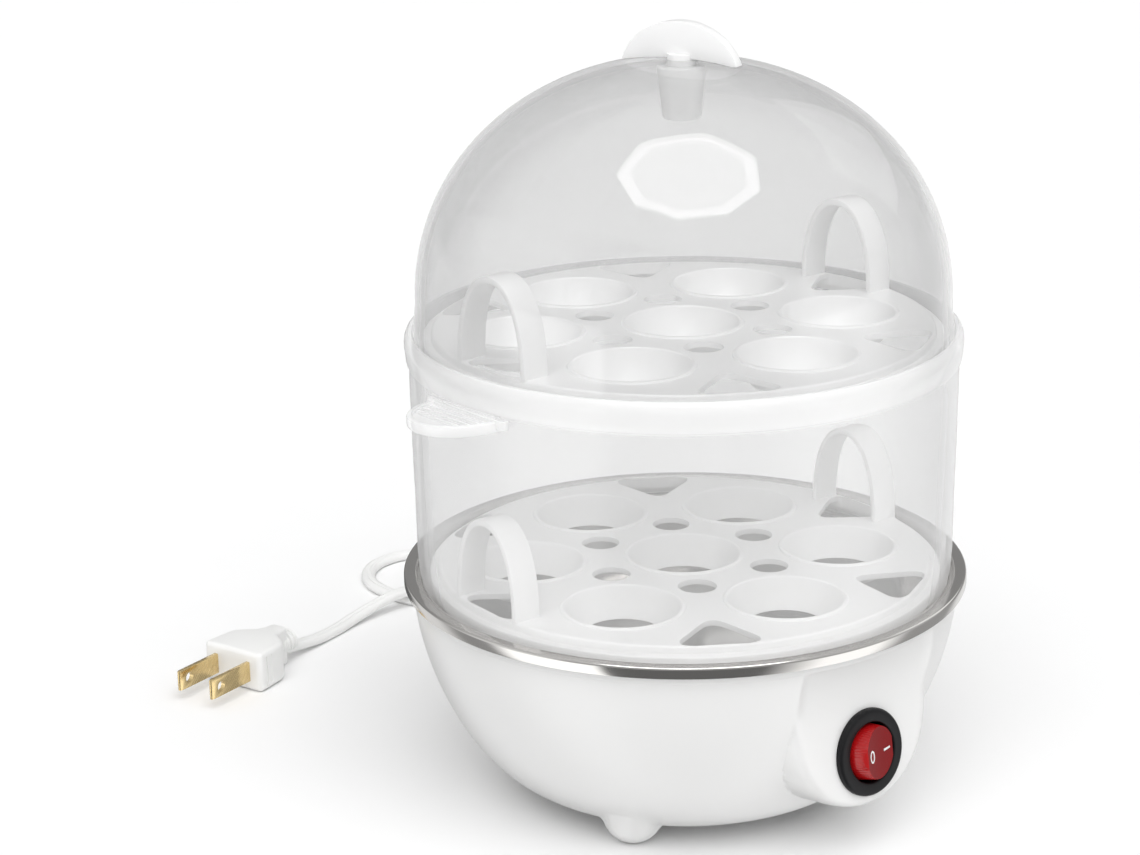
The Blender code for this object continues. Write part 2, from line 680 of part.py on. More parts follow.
def make_tray(name, foot_height, turn):
    """An egg tray that stands on the ring under its edge. The plate is TRAY_HEIGHT above that ring's foot."""
    top = foot_height + TRAY_HEIGHT
    frame = Matrix.Translation(at(0, 0, top)) @ turn_z(turn)
    edge = TRAY_TOP_RADIUS
    profile = [
        (0, 0),
        (edge - 0.8, 0),
        (edge, -0.6),
        (edge + 0.3, -2.0),
        (TRAY_RADIUS - 0.4, -2.0),
        (TRAY_RADIUS, -2.4),
        (TRAY_RADIUS, -TRAY_HEIGHT),
        (TRAY_RADIUS - 1.4, -TRAY_HEIGHT),
        (TRAY_RADIUS - 1.5, -3.5),
        (edge - 1.2, -3.5),
        (edge - 1.4, -TRAY_PLATE),
        (0, -TRAY_PLATE),
    ]
    tray = turned(name, profile, WHITE, matrix=frame)
    added, removed = [], []
    places = [(0, 0)] + [(CUP_CIRCLE, 60 * i) for i in range(6)]
    for number, (circle, angle) in enumerate(places):
        spot = frame @ Matrix.Translation(at(*polar(circle, angle, 0)))
        cup = [
            (0, 0.5),
            (CUP_RADIUS + CUP_WALL - 0.3, 0.5),
            (CUP_RADIUS + CUP_WALL, -0.4),
            (CUP_HOLE_RADIUS + CUP_WALL, -CUP_DEPTH),
            (0, -CUP_DEPTH),
        ]
        slope = (CUP_RADIUS - CUP_HOLE_RADIUS) / CUP_DEPTH
        added.append(turned(f"{name}_cup_{number}", cup, steps=SMALL_STEPS, matrix=spot, hidden=True))
        removed.append(
            cylinder(
                f"{name}_well_{number}",
                CUP_HOLE_RADIUS - slope * 2,
                -CUP_DEPTH - 2,
                3,
                matrix=spot,
                hidden=True,
                tip=CUP_RADIUS + slope * 3,
            )
        )
    triangle = rounded_triangle(47.6, 66.0, 12.6, 5.2)
    for i in range(6):
        hole = frame @ Matrix.Translation(at(*polar(STEAM_HOLE_CIRCLE, 30 + 60 * i, 0)))
        vent = cylinder(f"{name}_hole_{i}", STEAM_HOLE_RADIUS, -4, 3, matrix=hole, hidden=True, steps=10)
        removed.append(vent)
        gap = frame @ turn_z(30 + 60 * i)
        removed.append(plate(f"{name}_gap_{i}", triangle, -4, 3, matrix=gap, hidden=True))
    for side in (-90, 90):
        stand = frame @ turn_z(side) @ Matrix.Translation(at(0, -ARCH_REACH, 0))
        stand = stand @ Matrix.Rotation(math.radians(90), 4, "X")
        width = ARCH_WIDTH / 2
        added.append(plate(f"{name}_arch_{side}", arch_outline(), -width, width, matrix=stand, hidden=True))
    join(tray, added)
    cut(tray, removed)


def make_ring():
    """The steam ring: a frosted wall with a collar that holds the upper tray and the lid."""
    shelf = LEDGE_HEIGHT + STACK_PITCH
    foot = LEDGE_HEIGHT + GAP
    profile = [
        (70.2, foot),
        (70.9, 63.5),
        (71.4, 75.0),
        (71.9, shelf - 1.8),
        (68.3, shelf - 1.8),
        (68.3, shelf),
        (72.5, shelf),
        (72.5, RING_TOP - 0.3),
        (72.8, RING_TOP),
        (73.3, RING_TOP),
        (74.3, 129.5),
        (74.7, 127.9),
        (74.4, 125.5),
        (74.2, 123.1),
        (73.5, 122.7),
        (73.4, 100.0),
        (73.0, 70.0),
        (72.45, 63.5),
        (71.7, foot),
    ]
    ring = turned("steam_ring", profile, FROSTED, closed=True)
    tabs = []
    for side in (-90, 90):
        spot = Matrix.Translation(at(0, 0, TAB_TOP)) @ turn_z(side)
        outline = [(-TAB_HALF_WIDTH, -72.6)]
        for i in range(13):
            turn = math.pi * i / 12
            outline.append((-TAB_HALF_WIDTH * math.cos(turn), -74.0 - (TAB_REACH - 74.0) * math.sin(turn)))
        outline.append((TAB_HALF_WIDTH, -72.6))
        tabs.append(plate(f"tab_{side}", outline, -TAB_THICKNESS, 0, matrix=spot, hidden=True))
    join(ring, tabs)


def dome_height(radius):
    """The height of the dome's outer face at this radius."""
    return DOME_SPRING + DOME_RISE * (1 - (radius / DOME_RADIUS) ** DOME_POWER) ** (1 / DOME_POWER)


def make_dome():
    hole = STEM_RADIUS + 0.5
    foot = LEDGE_HEIGHT + STACK_PITCH + GAP
    crown = quarter((DOME_RADIUS, DOME_SPRING), (0, DOME_SPRING + DOME_RISE), DOME_POWER, 10)[:-1]
    crown.append((hole, dome_height(hole)))
    dome = turned("lid_dome", [*crown[::-1], (72.15, foot)], CLEAR)
    wall = dome.modifiers.new("wall", "SOLIDIFY")
    wall.thickness = DOME_WALL * MM
    wall.offset = -1


def make_lid_handle():
    frame = Matrix.Rotation(math.radians(LID_TURN), 4, "Z") @ Matrix.Rotation(math.radians(90), 4, "X")
    half = FIN_HALF_LENGTH - 1.0
    outline = []
    for i in range(19):
        across = half * math.cos(math.pi * i / 18)
        rise = FIN_RISE * math.sqrt(1 - (across / FIN_HALF_LENGTH) ** 2)
        outline.append((across, FIN_CENTRE + rise))
    for i in range(9):
        across = -half + 2 * half * i / 8
        outline.append((across, dome_height(abs(across)) + GAP))
    fin = plate("lid_handle", outline, -FIN_THICKNESS / 2, FIN_THICKNESS / 2, WHITE, frame)
    edge = fin.modifiers.new("soft edge", "BEVEL")
    edge.width = 0.5 * MM
    edge.segments = 1
    edge.limit_method = "ANGLE"
    edge.angle_limit = math.radians(60)
    apex = DOME_SPRING + DOME_RISE
    join(fin, cylinder("handle_stem", STEM_RADIUS, apex - PLUG_DROP + 2.2, apex + 1.4, hidden=True, steps=16))
    top = apex - DOME_WALL - GAP
    cup = [
        (STEM_RADIUS + GAP, top),
        (6.5, top),
        (5.0, top - PLUG_DROP),
        (0, top - PLUG_DROP),
    ]
    bore = [(0, apex - PLUG_DROP + 2.2 - GAP), (STEM_RADIUS + GAP, apex - PLUG_DROP + 2.2 - GAP)]
    turned("handle_retainer", bore + cup, WHITE, steps=16)


# ---------------------------------------------------------------- mains lead


def make_strain_relief():
    profile = [
        (CORD_WIDTH / 2 + GAP, 50.0),
        (5.6, 50.0),
        (5.6, 53.0),
        (4.2, 53.0),
        (4.2, 67.2),
        (5.8, 67.4),
        (5.8, 69.0),
        (4.4, 70.0),
        (3.4, 85.0),
        (CORD_WIDTH / 2 + GAP, 85.8),
    ]
    relief = turned("strain_relief", profile[::-1], CORD_WHITE, steps=16, closed=True, matrix=REAR_FRAME)
    clamp = box("cord_clamp", (-6.0, 38.0, CORD_EXIT_HEIGHT - 5.0), (6.0, 46.0, CORD_EXIT_HEIGHT + 5.0), WHITE)
    cut(clamp, cylinder("clamp_bore", CORD_WIDTH / 2 + GAP, 30, 50, matrix=REAR_FRAME, hidden=True, steps=12))
    return relief


def make_cord():
    inner = [(0.0, 37.0, CORD_EXIT_HEIGHT), (0.0, 60.0, CORD_EXIT_HEIGHT), (0.0, 80.0, CORD_EXIT_HEIGHT)]
    tube("cord_lead", smooth_route(inner + LEAD_ROUTE, 11.0), CORD_WIDTH, CORD_WHITE)
    tube("cord_tail", smooth_route(TAIL_ROUTE, 11.0), CORD_WIDTH, CORD_WHITE)
    width, layers = CORD_WIDTH, 2 * CORD_WIDTH
    inside, outside = COIL_RADIUS - width, COIL_RADIUS + width
    low, high = 0.05, 0.05 + layers
    profile = [
        (inside, low + 1.5),
        (inside, high - 1.5),
        (inside + 1.5, high),
        (outside - 1.5, high),
        (outside, high - 1.5),
        (outside, low + 1.5),
        (outside - 1.5, low),
        (inside + 1.5, low),
    ]
    spot = Matrix.Translation(at(*COIL_CENTRE, 0))
    turned("cord_coil", profile, CORD_WHITE, steps=24, closed=True, matrix=spot)


def make_cord_tie():
    """A flat tie round the coil, on its side that faces the cooker."""
    away = math.degrees(math.atan2(-COIL_CENTRE[1], -COIL_CENTRE[0]))
    frame = Matrix.Translation(at(*COIL_CENTRE, 0)) @ Matrix.Rotation(math.radians(away), 4, "Z")
    width = CORD_WIDTH + 0.6
    x0, x1, top = COIL_RADIUS - width, COIL_RADIUS + width, 2 * CORD_WIDTH + 0.35
    band = box("cord_tie", (x0 - 1.0, -2.6, 0.4), (x1 + 1.0, 2.6, top + 1.0), WHITE, frame)
    cut(band, box("tie_mouth", (x0, -5, -1), (x1, 5, top), matrix=frame, hidden=True))


def make_mains_plug():
    end = Vector(TAIL_ROUTE[-1])
    frame = Matrix.Translation(at(*end)) @ Matrix.Rotation(math.radians(TAIL_HEADING), 4, "Z")
    outline = [
        (0.8, -3.0),
        (6.0, -3.6),
        (9.5, -8.0),
        (12.0, -10.4),
        (PLUG_LENGTH - 1.5, -11.4),
        (PLUG_LENGTH, -10.6),
    ]
    outline += [(x, -y) for x, y in outline[::-1]]
    body = plate("mains_plug_body", outline, -6.3, 6.3, CORD_WHITE, frame)
    edge = body.modifiers.new("soft edge", "BEVEL")
    edge.width = 1.2 * MM
    edge.segments = 2
    edge.limit_method = "ANGLE"
    edge.angle_limit = math.radians(60)
    for number, side in ((1, -1), (2, 1)):
        middle = side * PIN_SPACING / 2
        low = (PLUG_LENGTH + GAP, middle - 0.75, -3.15)
        high = (PLUG_LENGTH + GAP + PIN_LENGTH, middle + 0.75, 3.15)
        box(f"mains_plug_pin_{number}", low, high, BRASS, frame)


def make_leads(bar_top):
    """The insulated leads inside the base, from the cord to the switch, heater, thermostat and fuse."""
    low = CORD_EXIT_HEIGHT
    routes = {
        "lead_live": [
            (-1.2, 36.0, low),
            (-12, 31, 17),
            (-25, 10, 14),
            (-22, -22, 16),
            (-9, -43, 24),
            (-5.5, -50.2, 26.4),
        ],
        "lead_neutral": [(1.2, 36.0, low), (10, 33, 21), (20, 26, 25), (26, 18.5, 30)],
        "lead_switched": [(5.5, -50.2, 26.4), (9, -43, 24), (18, -26, 17), (18, -10, 18.5), (13.0, -3.0, 21.2)],
    }
    for name, route in routes.items():
        tube(name, smooth_route(route, 6.0), 1.9, CORD_WHITE, resolution=1)


def build():
    make_base()
    make_base_screws()
    make_pan()
    plate_low, bar_top = make_heater()
    make_thermal_parts(plate_low)
    make_switch()
    make_rocker()
    make_contact()
    make_tray("lower_egg_tray", LEDGE_HEIGHT + GAP, LOWER_TRAY_TURN)
    make_ring()
    make_tray("upper_egg_tray", LEDGE_HEIGHT + STACK_PITCH + GAP, 0.0)
    make_dome()
    make_lid_handle()
    make_strain_relief()
    make_cord()
    make_cord_tie()
    make_mains_plug()
    make_leads(bar_top)


build()
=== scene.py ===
"""The looks of the two-tier egg cooker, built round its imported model.

Lengths in this file are millimetres, and MM turns them into Blender's metres.
"""

import json
import math

import bmesh
import bpy
import numpy as np
from mathutils import Matrix, Vector


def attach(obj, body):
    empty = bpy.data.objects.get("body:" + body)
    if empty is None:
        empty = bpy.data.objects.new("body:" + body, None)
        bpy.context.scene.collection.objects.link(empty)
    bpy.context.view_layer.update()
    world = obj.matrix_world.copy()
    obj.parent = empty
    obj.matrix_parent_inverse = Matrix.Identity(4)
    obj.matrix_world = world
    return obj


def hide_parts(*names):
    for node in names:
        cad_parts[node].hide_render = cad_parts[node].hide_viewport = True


MM = 0.001
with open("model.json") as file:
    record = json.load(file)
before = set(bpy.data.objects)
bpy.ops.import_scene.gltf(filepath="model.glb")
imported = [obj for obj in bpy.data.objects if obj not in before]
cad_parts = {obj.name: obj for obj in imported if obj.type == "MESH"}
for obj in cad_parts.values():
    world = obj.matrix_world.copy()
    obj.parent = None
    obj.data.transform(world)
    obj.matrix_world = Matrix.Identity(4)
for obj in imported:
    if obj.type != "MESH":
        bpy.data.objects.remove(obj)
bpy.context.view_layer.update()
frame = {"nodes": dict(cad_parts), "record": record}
nodes = frame["nodes"]
scene = bpy.context.scene
helpers = []

# ---------------------------------------------------------------- sizes, as in the CAD model

BOWL_TOP = 57.0
BOWL_BOTTOM = 5.0
BOWL_FOOT_RADIUS = 45.0
BOWL_BULGE = 29.4  # from the foot radius to the radius at the top
BOWL_POWER = 1.6
FOOT_CIRCLE = 46.0
FOOT_RADIUS = 8.2
FOOT_BLEND = 1.6
SCREW_CIRCLE = 41.0
BOSS_REACH = 70.3
BOSS_HEIGHT = 29.2
BOSS_TILT = 8.0
BOSS_HALF_WIDTH = 24.2
BOSS_ARC_TOP = 7.0  # above the switch; its outline is a half ellipse from here down
BOSS_ARC_DROP = 23.3
BOSS_SOFT_EDGE = 3.6
BOSS_WALL = 2.0
BOSS_CURVES_FROM = 40.0
BOSS_CURVE_OUT = 3.9  # how far its face has come forward at the top of the bowl
ROCKER_PIVOT = -0.6  # from the face of the boss
ROCKER_LEAN = 15.0
ROCKER_TOP = 4.5  # above its pivot
ROCKER_FOOT_RADIUS = 7.9
ROCKER_FACE_RADIUS = 6.9
ROCKER_FLUTES = 64
DISH_RADIUS = 60.0
DISH_DEPTH = 0.5
LEDGE_HEIGHT = 59.0
STACK_PITCH = 66.0
GAP = 0.3
CUP_CIRCLE = 43.1
VENT_CIRCLE = 24.9
ARCH_PLACE = 62.0  # from the middle of the tray
TAB_HEIGHT = 122.2
COLLAR_FROM = 122.6  # the ring is thicker from here up
WALL_RADIUS = 74.0  # what lies further out is the collar or a tab
TAB_FROM = 118.5
DOME_RADIUS = 71.4
DOME_FOOT = 138.5
DOME_TOP = 202.1
DOME_POWER = 2.08
DOME_HOLE = 4.3
LID_FOOT_RADIUS = 72.15
LID_WALL = 1.5
FIN_TURN = -71.0
FIN_HALF = 16.9
CORD_WIDTH = 4.6
CORD_THICKNESS = 3.0
CORD_REST = 2.35  # height of the round cord's middle where it lies on the floor
CORD_OUTLET = (0.0, 85.8, 22.0)
CORD_LAID = CORD_THICKNESS / 2 + 0.05  # height of the flat cord's middle there
COIL_CENTRE = (99.4, 96.7)
LEAD_ROUTE = [
    (0.0, 86.4, 22.0), (0.4, 96.9, 21.5), (3.1, 107.1, 19.0), (9.2, 117.6, 14.5), (17.3, 126.4, 10.4),
    (26.2, 134.7, 8.2), (35.2, 142.8, 7.7), (43.4, 150.2, 7.6), (49.7, 156.7, 5.6), (55.2, 163.8, 3.2),
    (57.9, 173.3, CORD_REST), (55.9, 182.6, CORD_REST), (49.8, 189.3, CORD_REST), (40.9, 191.9, CORD_REST),
    (31.8, 190.0, CORD_REST), (24.7, 184.2, CORD_REST), (20.4, 176.0, CORD_REST), (19.5, 167.1, CORD_REST),
    (20.6, 158.3, CORD_REST), (24.0, 150.0, CORD_REST), (31.5, 140.2, CORD_REST), (40.1, 130.2, CORD_REST),
    (47.1, 118.4, CORD_REST), (53.9, 106.2, CORD_REST), (63.6, 94.4, CORD_REST),
]
TAIL_ROUTE = [
    (95.3, 132.3, 4.4), (84.1, 137.6, CORD_REST), (72.1, 141.9, CORD_REST), (59.3, 145.4, CORD_REST),
    (50.6, 147.5, CORD_REST), (42.6, 149.6, CORD_REST), (35.7, 151.5, 3.6), (28.8, 153.4, 6.4),
    (21.5, 154.8, 8.0), (13.7, 155.6, 7.4), (5.8, 155.5, 5.3), (-2.5, 154.2, 3.4), (-11.1, 151.6, CORD_REST),
    (-20.1, 148.7, 2.6), (-28.8, 146.2, 4.2), (-37.5, 143.8, 6.4),
]
TAIL_HEADING = -164.8

# ---------------------------------------------------------------- camera


def make_camera():
    """The camera stands to the left of the switch, a little above the lid's level."""
    data = bpy.data.cameras.new("camera")
    data.lens = 85.96
    data.sensor_width = 36.0
    data.clip_start = 0.02
    data.clip_end = 50.0
    camera = bpy.data.objects.new("camera", data)
    scene.collection.objects.link(camera)
    forward = Vector((0.6128, 0.7303, -0.3017)).normalized()
    level = forward.cross(Vector((0, 0, 1))).normalized()
    upward = level.cross(forward)
    roll = math.radians(-1.036)
    x = level * math.cos(roll) + upward * math.sin(roll)
    y = -level * math.sin(roll) + upward * math.cos(roll)
    matrix = Matrix((x, y, -forward)).transposed().to_4x4()
    matrix.translation = Vector((-475.3, -518.7, 324.4)) * MM
    camera.matrix_world = matrix
    scene.camera = camera


make_camera()

# ---------------------------------------------------------------- materials


def new_material(name, colour, roughness, **sockets):
    """A Principled material. Each further socket is given by its name with _ for a space."""
    made = bpy.data.materials.new(name)
    made.use_nodes = True
    shader = made.node_tree.nodes["Principled BSDF"]
    shader.inputs["Base Color"].default_value = (*colour, 1.0)
    shader.inputs["Roughness"].default_value = roughness
    for key, value in sockets.items():
        shader.inputs[key.replace("_", " ")].default_value = value
    return made


def add_node(material, kind, **settings):
    """A new shader node in the material, with these attributes set."""
    node = material.node_tree.nodes.new(kind)
    for key, value in settings.items():
        setattr(node, key, value)
    return node


def coordinates(material):
    """Object coordinates in metres."""
    return add_node(material, "ShaderNodeTexCoord").outputs["Object"]


def noise(material, vector, scale, detail):
    """A noise pattern. scale counts its waves per metre."""
    node = add_node(material, "ShaderNodeTexNoise")
    node.inputs["Scale"].default_value = scale
    node.inputs["Detail"].default_value = detail
    material.node_tree.links.new(vector, node.inputs["Vector"])
    return node.outputs["Fac"]


def bump(material, height, strength, distance):
    """Raises and sinks the surface by a pattern. distance is in metres."""
    links = material.node_tree.links
    shader = material.node_tree.nodes["Principled BSDF"]
    node = add_node(material, "ShaderNodeBump")
    node.inputs["Strength"].default_value = strength
    node.inputs["Distance"].default_value = distance
    links.new(height, node.inputs["Height"])
    links.new(node.outputs["Normal"], shader.inputs["Normal"])


def vary(material, socket, fac, low, high):
    """Drives a socket between two values or colours by a pattern."""
    shader = material.node_tree.nodes["Principled BSDF"]
    ramp = add_node(material, "ShaderNodeValToRGB")
    for stop, value in zip(ramp.color_ramp.elements, (low, high)):
        stop.color = (*value, 1.0) if isinstance(value, tuple) else (value, value, value, 1.0)
    ramp.color_ramp.elements[0].position = 0.2
    ramp.color_ramp.elements[1].position = 0.8
    material.node_tree.links.new(fac, ramp.inputs["Fac"])
    material.node_tree.links.new(ramp.outputs["Color"], shader.inputs[socket])


def moulded(name, colour, roughness, grain=1500.0, depth=0.00001, **sockets):
    """Moulded plastic: a fine grain, and a roughness and colour that drift a little."""
    made = new_material(name, colour, roughness, **sockets)
    vector = coordinates(made)
    bump(made, noise(made, vector, grain, 2.0), 0.35, depth)
    vary(made, "Roughness", noise(made, vector, 30.0, 0.0), roughness * 0.9, roughness * 1.1)
    drift = tuple(c * 0.99 for c in colour)
    vary(made, "Base Color", noise(made, vector, 18.0, 0.0), drift, colour)
    if "Subsurface_Weight" in sockets:
        made.node_tree.nodes["Principled BSDF"].inputs["Subsurface Radius"].default_value = (1.0, 1.0, 1.0)
    return made


def set_stops(ramp, stops):
    """Gives a colour ramp these (position, brightness) stops."""
    elements = ramp.color_ramp.elements
    while len(elements) > 1:
        elements.remove(elements[-1])
    for number, (position, value) in enumerate(stops):
        stop = elements[0] if number == 0 else elements.new(position)
        stop.position = position
        stop.color = (value, value, value, 1.0)


def see_through(name, colour, roughness, least, most, grain, ior, sheen):
    """Thin plastic that hides more of what is behind it, and has a pale sheen, where seen edge on."""
    made = moulded(name, (colour,) * 3, roughness, grain, 0.000003, IOR=ior, Sheen_Weight=sheen)
    shader = made.node_tree.nodes["Principled BSDF"]
    shader.inputs["Sheen Roughness"].default_value = 0.35
    facing = add_node(made, "ShaderNodeLayerWeight")
    facing.inputs["Blend"].default_value = 0.3
    ramp = add_node(made, "ShaderNodeValToRGB")
    set_stops(ramp, [(0.0, least), (0.25, least + 0.02), (0.5, 0.34), (1.0, most)])
    made.node_tree.links.new(facing.outputs["Facing"], ramp.inputs["Fac"])
    made.node_tree.links.new(ramp.outputs["Color"], shader.inputs["Alpha"])
    return made


def brushed(name, colour, roughness, across):
    """Metal brushed round the Z axis, with its scratches across apart in metres."""
    made = new_material(name, colour, roughness, Metallic=1.0)
    links = made.node_tree.links
    split = add_node(made, "ShaderNodeSeparateXYZ")
    links.new(coordinates(made), split.inputs["Vector"])
    flat = add_node(made, "ShaderNodeCombineXYZ")
    links.new(split.outputs["X"], flat.inputs["X"])
    links.new(split.outputs["Y"], flat.inputs["Y"])
    length = add_node(made, "ShaderNodeVectorMath", operation="LENGTH")
    links.new(flat.outputs["Vector"], length.inputs[0])
    total = add_node(made, "ShaderNodeMath", operation="ADD")
    links.new(length.outputs["Value"], total.inputs[0])
    links.new(split.outputs["Z"], total.inputs[1])
    stretch = add_node(made, "ShaderNodeMath", operation="DIVIDE")
    stretch.inputs[1].default_value = across
    links.new(total.outputs["Value"], stretch.inputs[0])
    scaled = add_node(made, "ShaderNodeVectorMath", operation="SCALE")
    scaled.inputs["Scale"].default_value = 14.0
    links.new(flat.outputs["Vector"], scaled.inputs[0])
    parts = add_node(made, "ShaderNodeSeparateXYZ")
    links.new(scaled.outputs["Vector"], parts.inputs["Vector"])
    joined = add_node(made, "ShaderNodeCombineXYZ")
    links.new(parts.outputs["X"], joined.inputs["X"])
    links.new(parts.outputs["Y"], joined.inputs["Y"])
    links.new(stretch.outputs["Value"], joined.inputs["Z"])
    streaks = noise(made, joined.outputs["Vector"], 1.0, 4.0)
    bump(made, streaks, 0.25, 0.00002)
    vary(made, "Roughness", streaks, roughness * 0.8, roughness * 1.35)
    return made


WHITE = moulded("white_pp", (0.8, 0.8, 0.795), 0.33, Specular_IOR_Level=0.5)
TRAY = moulded("tray_pp", (0.95, 0.95, 0.95), 0.33, Subsurface_Weight=0.35, Subsurface_Scale=0.003)
HANDLE = moulded("handle_pp", (0.9, 0.9, 0.9), 0.33, Subsurface_Weight=0.4, Subsurface_Scale=0.003)
FROSTED = see_through("frosted_pp", 0.84, 0.2, 0.215, 0.75, 1500.0, 1.9, 0.3)
FROSTED_THICK = see_through("frosted_pp_thick", 0.93, 0.22, 0.55, 0.9, 1500.0, 1.6, 0.0)
CLEAR = see_through("clear_ps", 0.46, 0.035, 0.18, 0.75, 400.0, 2.5, 1.0)
STEEL = brushed("stainless", (0.68, 0.665, 0.645), 0.13, 0.0003)
SCREW = brushed("screw_steel", (0.6, 0.6, 0.6), 0.3, 0.0004)
ALUMINIUM = brushed("cast_aluminium", (0.72, 0.72, 0.73), 0.42, 0.0015)
BRASS = brushed("brass", (0.8, 0.62, 0.32), 0.25, 0.0005)
BLACK = moulded(
    "black_nylon", (0.01, 0.01, 0.011), 0.4, grain=2500.0, depth=0.00002, Specular_IOR_Level=0.2
)
# The rocker is one red plastic. Its sides get a red about twice as bright as its top face: painted light, a
# lit and a shaded copy of the same red.
RED = new_material(
    "red_pc", (0.26, 0.002, 0.004), 0.12, Specular_IOR_Level=0.3, Transmission_Weight=0.2, IOR=1.5
)
RED_SIDE_PAINTED_LIGHTER = new_material("red_pc_side_painted_lighter", (0.5, 0.008, 0.01), 0.18, Transmission_Weight=0.2, IOR=1.5)
MARK = moulded("printed_white", (0.9, 0.9, 0.9), 0.4)
PVC = moulded("white_pvc", (0.88, 0.88, 0.87), 0.4)
CERAMIC = moulded("brown_phenolic", (0.2, 0.1, 0.06), 0.5)
LAMP = new_material("lamp_glass", (0.95, 0.65, 0.45), 0.05, Transmission_Weight=0.9, IOR=1.45)

for red in (RED, RED_SIDE_PAINTED_LIGHTER):
    bump(red, noise(red, coordinates(red), 300.0, 2.0), 0.15, 0.00001)
bump(LAMP, noise(LAMP, coordinates(LAMP), 500.0, 2.0), 0.1, 0.00001)

SLOT_MATERIALS = {
    "white_pp": WHITE,
    "stainless": STEEL,
    "steel": SCREW,
    "aluminium": ALUMINIUM,
    "phenolic": CERAMIC,
    "cord_pvc": PVC,
    "black_nylon": BLACK,
    "red_pc": RED,
    "brass": BRASS,
    "lamp_glass": LAMP,
    "frosted_pp": FROSTED,
    "clear_ps": CLEAR,
}
for part in frame["record"]["subparts"]:
    carried = nodes[part["node"]]
    carried.data.materials.clear()
    carried.data.materials.append(SLOT_MATERIALS[part["material_slot"]])

# ---------------------------------------------------------------- modelling helpers


def at(x, y, z):
    """A place in millimetres as Blender's metres."""
    return Vector((x * MM, y * MM, z * MM))


def turn_z(angle):
    """A turn about the Z axis, in degrees."""
    return Matrix.Rotation(math.radians(angle), 4, "Z")


def polar(radius, angle, height):
    """A point at this radius and height. angle is in degrees from the switch, seen from above."""
    turn = math.radians(angle)
    return (radius * math.sin(turn), -radius * math.cos(turn), height)


def add_mesh(name, points, faces, matrix=None):
    """An object from points in millimetres and faces, placed by matrix."""
    mesh = bpy.data.meshes.new(name)
    mesh.from_pydata([at(*p) for p in points], [], faces)
    mesh.update()
    obj = bpy.data.objects.new(name, mesh)
    scene.collection.objects.link(obj)
    obj.matrix_world = matrix if matrix is not None else Matrix.Identity(4)
    return obj


def bands(rows, steps):
    """Faces between neighbouring rows, each given as its first point's number and its count of points."""
    faces = []
    for (a, a_count), (b, b_count) in zip(rows, rows[1:]):
        for i in range(steps):
            j = (i + 1) % steps
            if a_count == 1 and b_count == 1:
                continue
            if a_count == 1:
                faces.append((a, b + i, b + j))
            elif b_count == 1:
                faces.append((a + i, b, a + j))
            else:
                faces.append((a + i, b + i, b + j, a + j))
    return faces


def turned(name, profile, steps, matrix=None):
    """Turns (radius, height) points about the local Z axis. The profile ends on the axis or is a loop."""
    points, rows = [], []
    for radius, height in profile:
        if radius < 1e-6:
            rows.append((len(points), 1))
            points.append((0.0, 0.0, height))
            continue
        rows.append((len(points), steps))
        for i in range(steps):
            turn = 2 * math.pi * i / steps
            points.append((radius * math.cos(turn), radius * math.sin(turn), height))
    if profile[0][0] > 1e-6 and profile[-1][0] > 1e-6:
        rows.append(rows[0])
    obj = add_mesh(name, points, bands(rows, steps), matrix)
    outward(obj.data)
    return obj


def outward(mesh):
    """Makes all faces look outward."""
    shape = bmesh.new()
    shape.from_mesh(mesh)
    bmesh.ops.recalc_face_normals(shape, faces=shape.faces)
    shape.to_mesh(mesh)
    shape.free()


def plate(name, outline, low, high, matrix=None, round_by=0.0, segments=3):
    """A flat outline in the local XY plane, extruded along Z, with its edges rounded."""
    count = len(outline)
    points = [(x, y, low) for x, y in outline] + [(x, y, high) for x, y in outline]
    faces = [tuple(range(count))[::-1], tuple(range(count, 2 * count))]
    faces += [(i, (i + 1) % count, count + (i + 1) % count, count + i) for i in range(count)]
    obj = add_mesh(name, points, faces, matrix)
    outward(obj.data)
    if round_by:
        edge = obj.modifiers.new("round", "BEVEL")
        edge.width = round_by * MM
        edge.segments = segments
        edge.limit_method = "ANGLE"
        edge.angle_limit = math.radians(50)
    return obj


def box(name, low, high, matrix=None, round_by=0.0, segments=3):
    """A block between two opposite corners."""
    outline = [(low[0], low[1]), (high[0], low[1]), (high[0], high[1]), (low[0], high[1])]
    return plate(name, outline, low[2], high[2], matrix, round_by, segments)


def cylinder(name, radius, low, high, matrix=None, steps=48):
    """A round bar along the local Z axis."""
    return turned(name, [(0, low), (radius, low), (radius, high), (0, high)], steps, matrix)


def boolean(target, others, operation):
    """Joins pieces to the target or cuts them out of it. They are deleted at the end."""
    if not isinstance(others, list):
        others = [others]
    for other in others:
        other.hide_render = True
        helpers.append(other)
    group = bpy.data.collections.new(f"{target.name} {len(target.modifiers)}")
    for other in others:
        group.objects.link(other)
    modifier = target.modifiers.new(operation.lower(), "BOOLEAN")
    modifier.operation = operation
    modifier.solver = "EXACT"
    modifier.operand_type = "COLLECTION"
    modifier.collection = group
    return target


def join(target, others):
    """Makes the other pieces part of the target."""
    return boolean(target, others, "UNION")


def cut(target, others):
    """Takes the other pieces' shapes out of the target."""
    return boolean(target, others, "DIFFERENCE")


